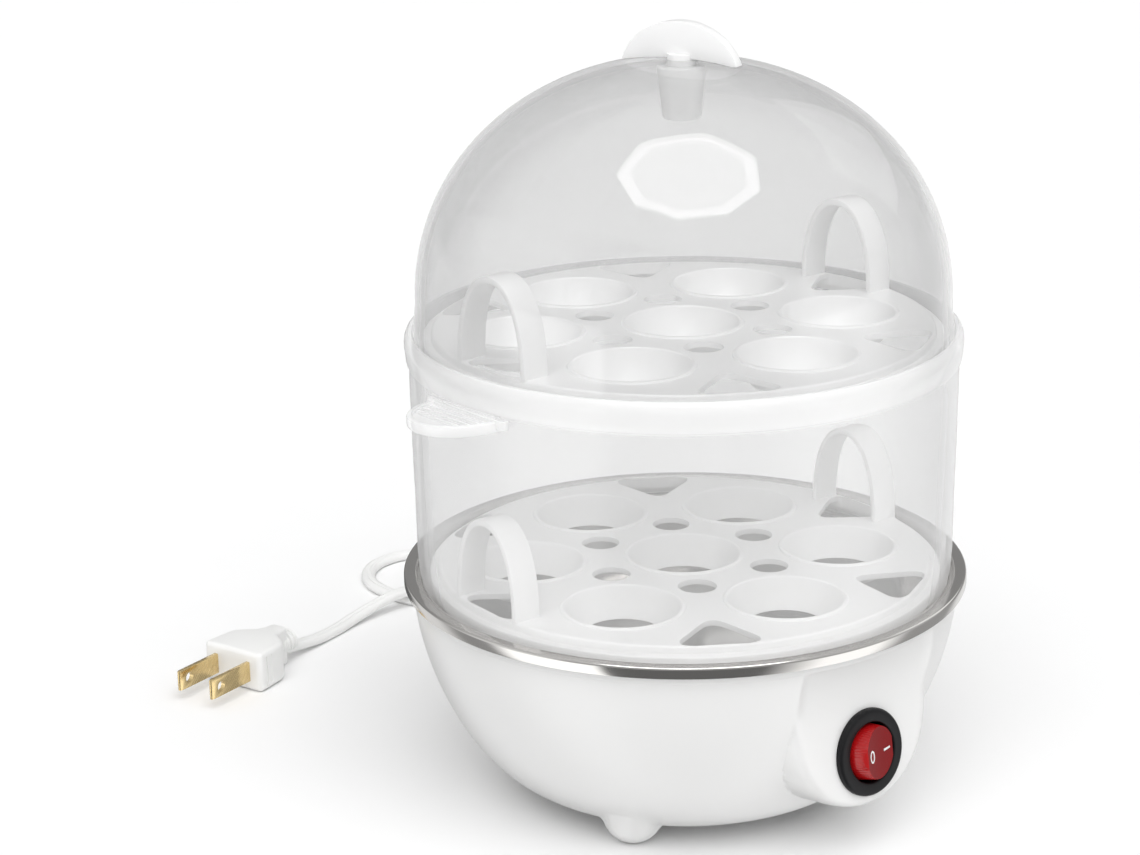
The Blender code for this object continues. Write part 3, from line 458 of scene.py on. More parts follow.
def settle(obj, material, body, replaced=(), sharp=30.0):
    """Applies the modifiers, shades the piece, gives it its material and puts it on its body."""
    bpy.context.view_layer.update()
    graph = bpy.context.evaluated_depsgraph_get()
    mesh = bpy.data.meshes.new_from_object(obj.evaluated_get(graph))
    obj.modifiers.clear()
    obj.data = mesh
    shape = bmesh.new()
    shape.from_mesh(mesh)
    bmesh.ops.remove_doubles(shape, verts=shape.verts, dist=0.000002)
    bmesh.ops.dissolve_degenerate(shape, edges=shape.edges, dist=0.000001)
    shape.to_mesh(mesh)
    shape.free()
    mesh.shade_smooth()
    mesh.set_sharp_from_angle(angle=math.radians(sharp))
    for own in material if isinstance(material, (list, tuple)) else [material]:
        if own.name not in mesh.materials:
            mesh.materials.append(own)
    if mesh.materials[0] in (CLEAR, FROSTED):
        obj.visible_shadow = False
    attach(obj, body)
    if replaced:
        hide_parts(*replaced)
    return obj


def arc(centre, radius, start, end, count):
    """Points of an arc from one angle to another, in degrees."""
    out = []
    for i in range(count + 1):
        turn = math.radians(start + (end - start) * i / count)
        out.append((centre[0] + radius * math.cos(turn), centre[1] + radius * math.sin(turn)))
    return out


def quarter(start, end, power, count):
    """A superelliptic quarter from a steep start (radius, height) to a level end."""
    (r0, z0), (r1, z1) = start, end
    out = []
    for i in range(count + 1):
        turn = math.pi / 2 * i / count
        across = math.cos(turn) ** (2 / power) if i < count else 0.0
        out.append((r1 + (r0 - r1) * across, z0 + (z1 - z0) * math.sin(turn) ** (2 / power)))
    return out


def smooth_route(points, spacing):
    """Points at an even spacing along a Catmull-Rom curve through the given ones."""
    line = [Vector(p) for p in points]
    line = [2 * line[0] - line[1], *line, 2 * line[-1] - line[-2]]
    fine = []
    for a, b, c, d in zip(line, line[1:], line[2:], line[3:]):
        for step in range(16):
            t = step / 16
            cube = 3 * b - a - 3 * c + d
            fine.append(0.5 * (2 * b + (c - a) * t + (2 * a - 5 * b + 4 * c - d) * t * t + cube * t**3))
    fine.append(line[-2])
    steps = [0.0]
    for p, q in zip(fine, fine[1:]):
        steps.append(steps[-1] + (q - p).length)
    count = max(2, round(steps[-1] / spacing))
    wanted = np.linspace(0.0, steps[-1], count + 1)
    columns = [np.interp(wanted, steps, [p[i] for p in fine]) for i in range(3)]
    return [Vector(p) for p in zip(*columns)], steps[-1]


def swept(name, line, section):
    """A closed solid that carries a flat section along a line, keeping its width level."""
    points, count = [], len(section)
    for i, here in enumerate(line):
        along = (line[min(i + 1, len(line) - 1)] - line[max(i - 1, 0)]).normalized()
        side = along.cross(Vector((0, 0, 1))).normalized()
        upward = side.cross(along)
        points += [here + side * x + upward * y for x, y in section]
    faces = [tuple(range(count))]
    for i in range(len(line) - 1):
        for j in range(count):
            k = (j + 1) % count
            faces.append((i * count + j, i * count + k, (i + 1) * count + k, (i + 1) * count + j))
    faces.append(tuple(range((len(line) - 1) * count, len(line) * count))[::-1])
    obj = add_mesh(name, points, faces)
    outward(obj.data)
    return obj


# ---------------------------------------------------------------- mains lead


def lower(point):
    """The flat cord lies lower than the round tube that stands for it, and meets it at the outlet."""
    x, y, z = point
    crossing, outlet, flattening = 8.2, CORD_OUTLET[2], 0.66
    if z <= crossing:
        return (x, y, CORD_LAID + (z - CORD_REST) * flattening)
    drop = crossing - CORD_LAID - (crossing - CORD_REST) * flattening
    return (x, y, z - drop * (outlet - z) / (outlet - crossing))


def coil_turns():
    """Two flat turns side by side, then half a turn on top that leads out."""
    out, low, high, steps = [], CORD_LAID, 1.5 * CORD_THICKNESS + 0.3, 46
    for i in range(1, steps):
        gone = 900.0 * i / steps
        inward = min(max((gone - 300.0) / 70.0, 0.0), 1.0)
        rise = min(max((gone - 640.0) / 80.0, 0.0), 1.0)
        inward, rise = inward * inward * (3 - 2 * inward), rise * rise * (3 - 2 * rise)
        radius = 28.3 - 4.7 * inward + 3.0 * rise
        turn = math.radians(gone - 130.0)
        x, y = COIL_CENTRE
        out.append((x + radius * math.cos(turn), y + radius * math.sin(turn), low + (high - low) * rise))
    return out


def make_cord():
    """The flat twin cord, with a groove along each side. Gives its piece, its path and its length."""
    route = [lower(p) for p in LEAD_ROUTE] + coil_turns() + [lower(p) for p in TAIL_ROUTE]
    route[0] = CORD_OUTLET
    line, length = smooth_route(route, 1.6)
    wide, half = CORD_WIDTH / 2, CORD_THICKNESS / 2
    section = []
    for side in (1, -1):
        start = -90 if side == 1 else 90
        section += arc((side * (wide - half), 0.0), half, start, start + 180, 8)
        section.append((0.0, side * (half - 0.28)))
    cord = swept("mains_cord", line, section)
    settle(cord, PVC, "base", ("cord_lead", "cord_coil", "cord_tail"))
    return cord, [p * MM for p in line], length * MM


def make_strain_relief():
    """A boot that tapers from the wall of the base, ribbed so that it bends."""
    frame_y = Matrix.Translation(at(0, 0, CORD_OUTLET[2])) @ Matrix.Rotation(math.radians(-90), 4, "X")
    profile = [(2.6, 50.0), (5.2, 50.0), (5.5, 50.4), (5.5, 52.8), (4.2, 53.0), (4.2, 63.5), (5.4, 63.6)]
    profile += arc((5.2, 67.9), 0.6, 0, 90, 4) + [(4.5, 68.5)]
    for i in range(6):
        start, radius = 69.6 + 2.4 * i, 4.35 - 0.14 * i
        profile += [(radius, start), (radius - 0.06, start + 1.3), (radius - 0.75, start + 1.5)]
        profile += [(radius - 0.8, start + 2.2)]
    profile += [(3.45, 84.2), (3.3, 85.4), (3.0, 85.8), (2.6, 85.8)]
    relief = turned("cord_boot", profile, 48, frame_y)
    settle(relief, PVC, "base", ("strain_relief",), sharp=40)


def make_tie():
    """A twist tie: a flat band pinched round the coil, with its two ends wound together."""
    away = math.degrees(math.atan2(-COIL_CENTRE[1], -COIL_CENTRE[0]))
    spot = Matrix.Translation(at(*COIL_CENTRE, 0)) @ turn_z(away)
    low, high, inside, outside = 0.25, 7.2, 20.6, 31.2
    around = [(inside, low + 1.2), (inside, high - 1.4), (inside + 1.6, high), (26.0, high + 0.25)]
    around += [(outside - 1.6, high), (outside, high - 1.4), (outside, low + 1.2)]
    around += [(outside - 1.2, low), (26.0, low), (inside + 1.2, low)]
    band_section = [(-2.2, -1), (2.2, -1), (2.2, 0.6), (0.5, 0.6), (0.0, 1.3), (-0.5, 0.6), (-2.2, 0.6)]
    loop = [Vector((x, 0.0, z)) for x, z in around]
    points, faces, count = [], [], len(loop)
    for i, here in enumerate(loop):
        along = (loop[(i + 1) % count] - loop[i - 1]).normalized()
        out = Vector((along.z, 0.0, -along.x)) * -0.35
        for across, height in band_section:
            points.append(here + Vector((0, across, 0)) + out * height)
    corners = len(band_section)
    for i in range(count):
        for j in range(corners):
            a, b, k = i * corners, ((i + 1) % count) * corners, (j + 1) % corners
            faces.append((a + j, a + k, b + k, b + j))
    band = add_mesh("twist_tie", points, faces, spot)
    outward(band.data)
    settle(band, WHITE, "base", ("cord_tie",), sharp=40)
    ends, apart = [], 0.8
    for number, phase in enumerate((0.0, math.pi)):
        path = []
        for i in range(26):
            turn = phase + 2 * math.pi * i / 9
            out = outside + 0.6 + 0.45 * i
            path.append(Vector((out, apart * math.cos(turn), 3.4 + apart * math.sin(turn))))
        strand = swept(f"twist_end_{number + 1}", path, arc((0, 0), 0.75, 0, 330, 11))
        strand.matrix_world = spot
        ends.append(settle(strand, WHITE, "base", sharp=50))
    return [band, *ends]


def make_plug():
    """A flat moulded plug with grip ribs on its sides and two flat pins."""
    frame_plug = Matrix.Translation(at(*TAIL_ROUTE[-1])) @ turn_z(TAIL_HEADING)
    half = [(1.0, 3.0), (5.0, 3.3), (7.2, 4.4), (9.2, 7.4), (11.2, 9.6), (13.0, 10.3)]
    half += [(15.0, 10.5), (22.6, 11.2), (24.0, 10.9)]
    outline = half + [(x, -y) for x, y in half[::-1]]
    body = plate("plug_body", outline, -6.2, 6.2, frame_plug, 2.0, 4)
    grips = []
    for side in (1, -1):
        for i in range(4):
            x = 13.6 + 2.2 * i
            y = side * 11.4
            grips.append(box(f"grip_{side}_{i}", (x, y - 0.8, -4.6), (x + 1.0, y + 0.8, 4.6), frame_plug))
    cut(body, grips)
    settle(body, PVC, "base", ("mains_plug_body",), sharp=35)
    neck_frame = frame_plug @ Matrix.Rotation(math.radians(90), 4, "Y")
    rings = [(2.5, -3.4), (3.2, -3.2)]
    for i in range(3):
        radius, start = 3.5 + 0.1 * i, 1.9 * i
        rings += [(radius, -2.9 + start), (radius, -1.9 + start), (2.9, -1.75 + start), (2.9, -1.1 + start)]
    rings += [(3.6, 3.0), (3.6, 3.6), (2.5, 3.6)]
    neck = turned("plug_neck", rings, 32, neck_frame)
    settle(neck, PVC, "base", sharp=40)
    made = [body, neck]
    for number, side in ((1, -1), (2, 1)):
        y = side * 6.35
        pin_outline = [(23.6, y - 0.75), (40.2, y - 0.75), (41.2, y - 0.35)]
        pin_outline += [(41.2, y + 0.35), (40.2, y + 0.75), (23.6, y + 0.75)]
        pin = plate(f"plug_pin_{number}", pin_outline, -3.15, 3.15, frame_plug, 0.25, 2)
        across = frame_plug @ Matrix.Translation(at(37.0, y, 0)) @ Matrix.Rotation(math.radians(90), 4, "X")
        cut(pin, cylinder(f"pin_hole_{number}", 1.6, -3, 3, across, 20))
        made.append(settle(pin, BRASS, "base", (f"mains_plug_pin_{number}",), sharp=40))
    return made


# ---------------------------------------------------------------- base

SWITCH_FRAME = Matrix.Translation(at(0, -BOSS_REACH, BOSS_HEIGHT)) @ Matrix.Rotation(
    math.radians(90 - BOSS_TILT), 4, "X"
)


def bowl_radius(z):
    """The radius of the bowl's outside at height z."""
    rise = np.clip((BOWL_TOP - z) / (BOWL_TOP - BOWL_BOTTOM), 0.0, 1.0)
    return BOWL_FOOT_RADIUS + BOWL_BULGE * (1 - rise**BOWL_POWER) ** (1 / BOWL_POWER)


def boss_inside(x, v):
    """How far a point of the boss's face lies inside its outline, in mm. v runs up the face."""
    below = np.minimum(v - BOSS_ARC_TOP, 0.0)
    reach = np.maximum(np.hypot(x / BOSS_HALF_WIDTH, below / BOSS_ARC_DROP), 1e-6)
    in_arc = np.hypot(x, v - BOSS_ARC_TOP) / reach * (1 - reach)
    return np.where(v < BOSS_ARC_TOP, in_arc, BOSS_HALF_WIDTH - np.abs(x))


def make_base():
    """The bowl with its switch boss and feet drawn out of one skin, as a moulding has them."""
    bowl, heel = [], 3.0
    for z in np.linspace(BOWL_TOP, BOWL_BOTTOM + heel, 64):
        bowl.append((float(bowl_radius(z)), float(z)))
    for turn in np.linspace(0.0, 1.0, 26)[1:]:
        z = BOWL_BOTTOM + heel - heel * math.sin(math.pi / 2 * turn)
        bowl.append((float(bowl_radius(z)), z))
    bowl += [(float(r), BOWL_BOTTOM) for r in np.linspace(44.3, 34.0, 16)]
    bowl += [(float(r), BOWL_BOTTOM) for r in np.linspace(30.0, 4.0, 5)]
    lip = [(73.8, 57.2), (73.8, 61.8), (74.1, 62.1), (74.6, 62.1), (74.9, 61.8), (74.9, 57.9)]
    lip += [(74.75, 57.65), (74.4, 57.5)]
    inner = [(0.0, 7.2), (20.0, 7.2), (43.0, 7.2), (52.0, 10.0), (60.0, 18.0), (66.5, 30.0)]
    inner += [(70.4, 42.0), (72.2, 57.2)]
    dense = np.linspace(-26.0, 26.0, 105)
    rest = np.linspace(26.0, 334.0, 247)[1:-1]
    angles = np.radians(np.concatenate([dense, rest]))
    profile = inner + lip + bowl + [(0.0, BOWL_BOTTOM)]
    first_bowl = len(inner) + len(lip)
    points, rows = [], []
    for number, (radius, height) in enumerate(profile):
        x, y = radius * np.sin(angles), -radius * np.cos(angles)
        z = np.full_like(x, height)
        if first_bowl <= number < len(profile) - 1:
            x, y, z = with_boss(x, y, z)
            z = with_feet(x, y, z)
        elif 0 < number < len(inner):
            behind = boss_face(z) + BOSS_WALL
            y = np.where((np.abs(x) < BOSS_HALF_WIDTH - 0.5) & (y < behind), behind, y)
        row = np.stack([x, y, z], 1)
        if number in (0, len(profile) - 1):
            row = row[:1]
        rows.append((len(points), len(row)))
        points += [tuple(p) for p in row]
    base = add_mesh("base_shell", points, bands(rows, len(angles)))
    outward(base.data)
    holes = []
    for number, angle in enumerate((0.0, 120.0, -120.0)):
        spot = Matrix.Translation(at(*polar(SCREW_CIRCLE, angle, 0)))
        holes.append(cylinder(f"recess_{number}", 3.8, 0.0, 6.6, spot, 40))
    holes.append(cylinder("switch_hole", 10.2, -16.0, 0.6, SWITCH_FRAME, 96))
    cut(base, holes)
    settle(base, WHITE, "base", ("base_housing",), sharp=38)


def boss_face(z):
    """Where the face of the boss lies: flat behind the switch, then curving out to the rim."""
    flat = (z - BOSS_HEIGHT) * math.tan(math.radians(BOSS_TILT)) - BOSS_REACH
    risen = np.clip(z - BOSS_CURVES_FROM, 0.0, None) / (BOWL_TOP - BOSS_CURVES_FROM)
    return flat - BOSS_CURVE_OUT * risen**2


def with_boss(x, y, z):
    """Moves the skin of the bowl to the face of the boss, with a soft edge all round."""
    face = boss_face(z)
    inside = boss_inside(x, (z - BOSS_HEIGHT) / math.cos(math.radians(BOSS_TILT)))
    out = np.sqrt(np.clip(1 - (1 - np.clip(inside / BOSS_SOFT_EDGE, 0, 1)) ** 2.4, 0, 1))
    return x, np.where((y < -40.0) & (inside > 0), y + (face - y) * out, y), z


def with_feet(x, y, z):
    """Draws three round feet down out of the skin, flat where they stand."""
    for angle in (-60.0, 60.0, 180.0):
        foot = polar(FOOT_CIRCLE, angle, 0)
        away = np.hypot(x - foot[0], y - foot[1])
        ball = 8.0 - np.sqrt(np.clip(FOOT_RADIUS**2 - away**2, 0.0, None))
        ball = np.where(away < FOOT_RADIUS, np.maximum(ball, 0.0), 30.0)
        blend = np.clip(0.5 + 0.5 * (z - ball) / FOOT_BLEND, 0.0, 1.0)
        merged = z * (1 - blend) + ball * blend - FOOT_BLEND * blend * (1 - blend)
        z = np.where(away < FOOT_RADIUS - 0.01, np.maximum(merged, 0.0), z)
    return z


def make_switch():
    """The black housing with its bezel, and the red rocker, leaning with its bar end pressed in."""
    body = [(0, -9.8), (8.7, -9.8), (8.7, 0.4), (8.1, 1.0)] + arc((8.55, 1.4), 0.45, 180, 90, 3)
    body += [(10.0, 1.86)] + arc((10.45, 0.6), 1.2, 84, 5, 7)
    body += [(11.65, 0.1), (9.9, 0.1), (9.9, -12.0), (0, -12.0)]
    bezel = turned("switch_bezel", body, 96, SWITCH_FRAME)
    settle(bezel, BLACK, "base", ("switch_housing",), sharp=40)
    lean = Matrix.Rotation(math.radians(ROCKER_LEAN), 4, "Y")
    frame_rocker = SWITCH_FRAME @ Matrix.Translation(at(0, 0, ROCKER_PIVOT)) @ lean
    outline = []
    for i in range(192):
        turn = 2 * math.pi * i / 192
        radius = ROCKER_FOOT_RADIUS - 0.07 * (1 - math.cos(turn * ROCKER_FLUTES))
        outline.append((radius * math.cos(turn), radius * math.sin(turn)))
    rocker = plate("rocker_button", outline, -3.5, ROCKER_TOP, frame_rocker)
    for vertex in rocker.data.vertices:
        if vertex.co.z > 0:
            vertex.co.x *= ROCKER_FACE_RADIUS / ROCKER_FOOT_RADIUS
            vertex.co.y *= ROCKER_FACE_RADIUS / ROCKER_FOOT_RADIUS
    along = Matrix.Rotation(math.radians(90), 4, "X")
    dish = Matrix.Translation(at(0, 0, ROCKER_TOP - DISH_DEPTH + DISH_RADIUS)) @ along
    swing = turned("rocker_swing", [(7.7, -10), (12, -10), (12, 10), (7.7, 10)], 256, frame_rocker @ along)
    cut(rocker, [cylinder("rocker_dish", DISH_RADIUS, -12, 12, frame_rocker @ dish, 360), swing])
    settle(rocker, [RED, RED_SIDE_PAINTED_LIGHTER], "rocker", ("switch_rocker",), sharp=30)
    # Painted light: the top face takes the darker red and the sides take the brighter copy of it.
    for face in rocker.data.polygons:
        face.material_index = 0 if face.normal.z > 0.9 else 1
    make_marks(frame_rocker)


def make_marks(frame_rocker):
    """The on bar and the off ring, raised a hair above the button."""

    def height(x):
        return ROCKER_TOP - DISH_DEPTH + DISH_RADIUS - math.sqrt(DISH_RADIUS**2 - x * x)

    ring = []
    for radius_x, radius_y in ((0.72, 1.22), (1.2, 1.7)):
        turns = [2 * math.pi * i / 40 for i in range(40)]
        ring.append([(-3.9 + radius_x * math.cos(turn), radius_y * math.sin(turn)) for turn in turns])
    points, faces = [], []
    for lift in (-0.1, 0.05):
        for loop in ring:
            points += [(x, y, height(x) + lift) for x, y in loop]
    for i in range(40):
        j = (i + 1) % 40
        faces.append((80 + i, 120 + i, 120 + j, 80 + j))
        faces.append((i, j, 40 + j, 40 + i))
        faces.append((i, 80 + i, 80 + j, j))
        faces.append((40 + i, 40 + j, 120 + j, 120 + i))
    off = add_mesh("off_mark", points, faces, frame_rocker)
    outward(off.data)
    settle(off, MARK, "rocker", sharp=40)
    lift = height(3.9)
    on = box("on_mark", (2.2, -0.27, lift - 0.3), (5.2, 0.27, lift + 0.12), frame_rocker, 0.04, 1)
    settle(on, MARK, "rocker", sharp=40)


def make_pan():
    """The pan of thin sheet: a skirt, a flange, a rolled step down to the ledge and a bowl."""
    outer = [(76.35, 60.0), (76.65, 59.9), (76.95, 60.05), (77.0, 60.3), (77.0, 62.3)]
    outer += arc((76.3, 62.3), 0.7, 0, 90, 4) + [(74.2, 63.0)]
    outer += arc((74.1, 62.1), 0.9, 90, 165, 4) + [(72.7, 60.4), (72.5, 59.5), (72.2, 59.1), (71.7, 59.0)]
    outer += [(69.5, 59.0), (67.4, 58.95)] + quarter((66.2, 58.2), (46.0, 40.0), 2.1, 16)
    outer += [(38.0, 40.0), (20.0, 40.0), (0.0, 40.0)]
    under = [(0.0, 39.4), (46.0, 39.4)] + quarter((66.8, 58.0), (46.3, 39.4), 2.1, 12)[::-1]
    under += [(66.9, 58.35), (71.9, 58.4), (72.0, 59.6), (72.4, 62.1), (73.2, 62.4)]
    under += [(76.2, 62.4), (76.35, 62.2)]
    pan = turned("steel_pan", outer + under, 192)
    settle(pan, STEEL, "base", ("water_pan",), sharp=40)


# ---------------------------------------------------------------- stack


def rounded_triangle(inner, outer, half_width, corner):
    """A triangle whose point faces the middle, with round corners and a bowed outer side."""
    tips = [Vector((0.0, inner)), Vector((half_width, outer)), Vector((-half_width, outer))]
    out = []
    for i, tip in enumerate(tips):
        before = (tips[i - 1] - tip).normalized()
        after = (tips[(i + 1) % 3] - tip).normalized()
        for step in range(9):
            t = step / 8
            out.append(tip + before * corner * (1 - t) ** 2 + after * corner * t**2)
    bowed = []
    for p in out:
        bow = 1.6 * max(0.0, 1 - (p.x / half_width) ** 2) if p.y > outer - 2.5 else 0.0
        bowed.append((p.x, -(p.y + bow)))
    return bowed


def arch_outline(half_span, height, thickness):
    """The front of a handle: a band that rises from the tray, goes over and comes down again."""

    def side(a, b, count):
        out = []
        for i in range(count + 1):
            turn = math.pi * i / count
            across = abs(math.cos(turn)) ** (2 / 2.2) * math.copysign(1, math.cos(turn))
            out.append((a * across, b * abs(math.sin(turn)) ** (2 / 2.2)))
        return out

    outer = side(half_span, height, 36)
    inner = side(half_span - thickness, height - thickness, 36)
    ends = [(-half_span, -0.9), (-half_span + thickness, -0.9)]
    return [(half_span, -0.9), *outer, *ends, *inner[::-1], (half_span - thickness, -0.9)]


def make_tray(name, node, body, foot_height, turn):
    """A tray for seven eggs: ringed cups, steam holes between them and two arched handles."""
    top = foot_height + 5.6
    spot = Matrix.Translation(at(0, 0, top)) @ turn_z(turn)
    profile = [(0, 0), (66.4, 0)] + arc((66.5, -0.8), 0.8, 90, 10, 4) + [(67.5, -1.9), (69.4, -2.0)]
    profile += arc((69.4, -2.4), 0.4, 90, 0, 3) + [(69.8, -5.3), (69.5, -5.6), (68.7, -5.6), (68.4, -5.3)]
    profile += [(68.3, -3.5), (66.1, -3.4), (65.9, -1.5), (0, -1.5)]
    tray = turned(name, profile, 144, spot)
    added, removed = [], []
    for number, (circle, angle) in enumerate([(0, 0)] + [(CUP_CIRCLE, 60 * i) for i in range(6)]):
        here = spot @ Matrix.Translation(at(*polar(circle, angle, 0)))
        cup = [(0, 0.55), (15.9, 0.55), (16.35, 0.4), (16.6, 0.0), (16.5, -0.9), (14.6, -3.4), (12.6, -6.4)]
        cup += [(11.9, -7.3), (11.6, -7.4), (0, -7.4)]
        added.append(turned(f"{name}_cup_{number}", cup, 56, here))
        well = [(0, -12), (9.6, -12), (10.5, -7.4), (11.4, -6.2), (13.4, -3.3), (14.9, -0.6)]
        well += [(15.25, 0.25), (15.7, 0.56), (17.0, 2.0), (0, 2.0)]
        removed.append(turned(f"{name}_well_{number}", well, 56, here))
    triangle = rounded_triangle(47.4, 65.3, 12.4, 5.6)
    for i in range(6):
        here = spot @ Matrix.Translation(at(*polar(VENT_CIRCLE, 30 + 60 * i, 0)))
        removed.append(cylinder(f"{name}_vent_{i}", 5.2, -4, 3, here, 40))
        removed.append(plate(f"{name}_gap_{i}", triangle, -4, 3, spot @ turn_z(30 + 60 * i)))
    upright = Matrix.Rotation(math.radians(90), 4, "X")
    for side in (-90, 90):
        here = spot @ turn_z(side) @ Matrix.Translation(at(0, -ARCH_PLACE, 0)) @ upright
        arch = plate(f"{name}_arch_{side}", arch_outline(13.5, 24.3, 1.8), -4.0, 4.0, here, 0.45, 2)
        added.append(arch)
    join(tray, added)
    cut(tray, removed)
    settle(tray, TRAY, body, (node,), sharp=32)


def make_ring():
    """The frosted ring that carries the upper tray, with its collar and two ribbed tabs."""
    foot = LEDGE_HEIGHT + GAP
    outer = [(71.55, foot), (71.75, foot + 0.2), (72.1, 61.4), (72.45, 63.5), (72.75, 66.5), (73.0, 70.0)]
    outer += [(73.1, 85.0), (73.4, 100.0), (73.6, 118.0), (73.62, 122.4), (73.75, 122.85), (74.15, 123.05)]
    outer += [(74.3, 123.6), (74.5, 125.5), (74.68, 127.2), (74.7, 128.0), (74.55, 129.2), (74.1, 130.2)]
    outer += [(73.5, 130.85), (72.95, 131.0)]
    inner = [(72.6, 130.8), (72.5, 130.4), (72.5, 125.3), (72.3, 125.0), (68.6, 125.0), (68.3, 124.7)]
    inner += [(68.3, 123.5), (68.6, 123.2), (71.8, 123.2), (72.0, 122.9), (71.6, 100.0), (71.4, 75.0)]
    inner += [(70.9, 63.5), (70.3, foot + 0.2), (70.4, foot)]
    ring = turned("frosted_ring", outer + inner, 192)
    tabs, pockets = [], []
    for side in (-90, 90):
        here = Matrix.Translation(at(0, 0, TAB_HEIGHT)) @ turn_z(side)
        for inset, target, low, high in ((0.0, tabs, -2.9, 0.0), (1.5, pockets, -0.9, 2.0)):
            width, reach, root = 13.2 - inset, 16.0 - inset, -73.0
            outline = [(-width, root)]
            for i in range(33):
                turn = math.pi * i / 32
                outline.append((-width * math.cos(turn), -74.0 - reach * math.sin(turn) ** 0.92))
            outline.append((width, root))
            if inset:
                outline = [(x, min(y, -75.4)) for x, y in outline]
            round_by = 0.0 if inset else 0.5
            target.append(plate(f"tab_{inset}_{side}", outline, low, high, here, round_by, 2))
        flange = [(-15.5, -72.9), (-15.5, -74.6), (-14.6, -75.2), (14.6, -75.2), (15.5, -74.6), (15.5, -72.9)]
        tabs.append(plate(f"root_{side}", flange, -2.2, 0.4, here, 0.3, 2))
    join(ring, tabs)
    cut(ring, pockets)
    settle(ring, [FROSTED, FROSTED_THICK], "ring", ("steam_ring",), sharp=32)
    for face in ring.data.polygons:  # the collar and the tabs are thicker than the wall
        tab = face.center.xy.length > WALL_RADIUS * MM and face.center.z > TAB_FROM * MM
        face.material_index = int(tab or face.center.z > COLLAR_FROM * MM)
    for side in (-90, 90):
        here = Matrix.Translation(at(0, 0, TAB_HEIGHT)) @ turn_z(side)
        for i, y in enumerate((-78.2, -80.6, -83.0)):
            half = 11.2 * math.sqrt(max(0.05, 1 - ((abs(y) - 74.0) / 14.4) ** 2))
            ends = ((-half, y - 0.35, -1.1), (half, y + 0.35, -0.25))
            rib = box(f"tab_rib_{side + 91}_{i + 1}", *ends, here, 0.15, 2)
            settle(rib, FROSTED_THICK, "ring", sharp=40)


def dome_height(radius):
    """The height of the dome's outside at this radius."""
    rise = (1 - (radius / DOME_RADIUS) ** DOME_POWER) ** (1 / DOME_POWER)
    return DOME_FOOT + (DOME_TOP - DOME_FOOT) * rise


def dome_line(inset):
    """Half of the lid's section, from its foot up to the hole for the handle, inset from its outside."""
    line = quarter((DOME_RADIUS - inset, DOME_FOOT), (0, DOME_TOP - inset), DOME_POWER, 56)
    line = [p for p in line if p[0] > DOME_HOLE + 0.1] + [(DOME_HOLE, dome_height(DOME_HOLE) - inset)]
    foot = LEDGE_HEIGHT + STACK_PITCH + GAP
    return [(LID_FOOT_RADIUS - inset, foot + 0.3), (72.0 - inset, 129.5), (71.75 - inset, 134.0)] + line


def make_lid():
    """The clear dome, its fin with a stem through the top, and the cup that holds it from inside."""
    foot = LEDGE_HEIGHT + STACK_PITCH + GAP
    profile = [(LID_FOOT_RADIUS - 0.35, foot)] + dome_line(0.0) + dome_line(LID_WALL)[::-1]
    profile += [(LID_FOOT_RADIUS - LID_WALL + 0.35, foot)]
    dome = turned("clear_dome", profile, 192)
    settle(dome, CLEAR, "lid", ("lid_dome",), sharp=40)
    frame_fin = turn_z(FIN_TURN) @ Matrix.Rotation(math.radians(90), 4, "X")
    outline = []
    for i in range(61):
        across = FIN_HALF * math.cos(math.pi * i / 60)
        outline.append((across, 196.8 + 15.1 * math.sqrt(1 - (across / 17.65) ** 2)))
    for i in range(1, 24):
        across = FIN_HALF * (i / 12 - 1)
        outline.append((across, dome_height(abs(across)) + 0.25))
    fin = plate("fin_handle", outline, -1.6, 1.6, frame_fin, 0.55, 3)
    stem = [(0, 190.6), (3.5, 190.6), (3.8, 191.0), (3.8, 203.4), (0, 203.4)]
    join(fin, turned("fin_stem", stem, 40))
    settle(fin, HANDLE, "lid", ("lid_handle",), sharp=35)
    top = DOME_TOP - LID_WALL - 0.3
    cup = [(4.1, top - 0.2), (4.4, top), (6.2, top), (6.5, top - 0.4), (5.05, top - 13.3)]
    cup += [(4.6, top - 13.9), (0, top - 13.9), (0, top - 11.0), (3.9, top - 11.0), (4.1, top - 10.6)]
    retainer = turned("retainer_cup", cup, 64)
    settle(retainer, HANDLE, "lid", ("handle_retainer",), sharp=40)


# ---------------------------------------------------------------- studio


def reflected_card(name, outline, position, strength):
    """A glowing card that shows in reflections and lights nothing else. It faces the cooker."""
    target = Vector((0.0, 0.0, 110.0))
    place = (target - Vector(position)).to_track_quat("-Z", "Y").to_matrix().to_4x4()
    place.translation = Vector(position) * MM
    card = add_mesh(name, [(x, y, 0.0) for x, y in outline], [tuple(range(len(outline)))], place)
    glow = bpy.data.materials.new(name)
    glow.use_nodes = True
    tree = glow.node_tree
    tree.nodes.clear()
    light = tree.nodes.new("ShaderNodeEmission")
    light.inputs["Strength"].default_value = strength
    out = tree.nodes.new("ShaderNodeOutputMaterial")
    tree.links.new(light.outputs["Emission"], out.inputs["Surface"])
    card.data.materials.append(glow)
    card.visible_camera = False
    card.visible_diffuse = False
    card.visible_transmission = False
    card.visible_shadow = False


def sun(name, direction, strength, softness):
    """A lamp without a position, which lights the whole floor evenly. direction points to it."""
    data = bpy.data.lights.new(name, "SUN")
    data.energy = strength
    data.angle = math.radians(softness)
    lamp = bpy.data.objects.new(name, data)
    scene.collection.objects.link(lamp)
    lamp.matrix_world = Vector(direction).to_track_quat("Z", "Y").to_matrix().to_4x4()
    lamp.visible_glossy = False


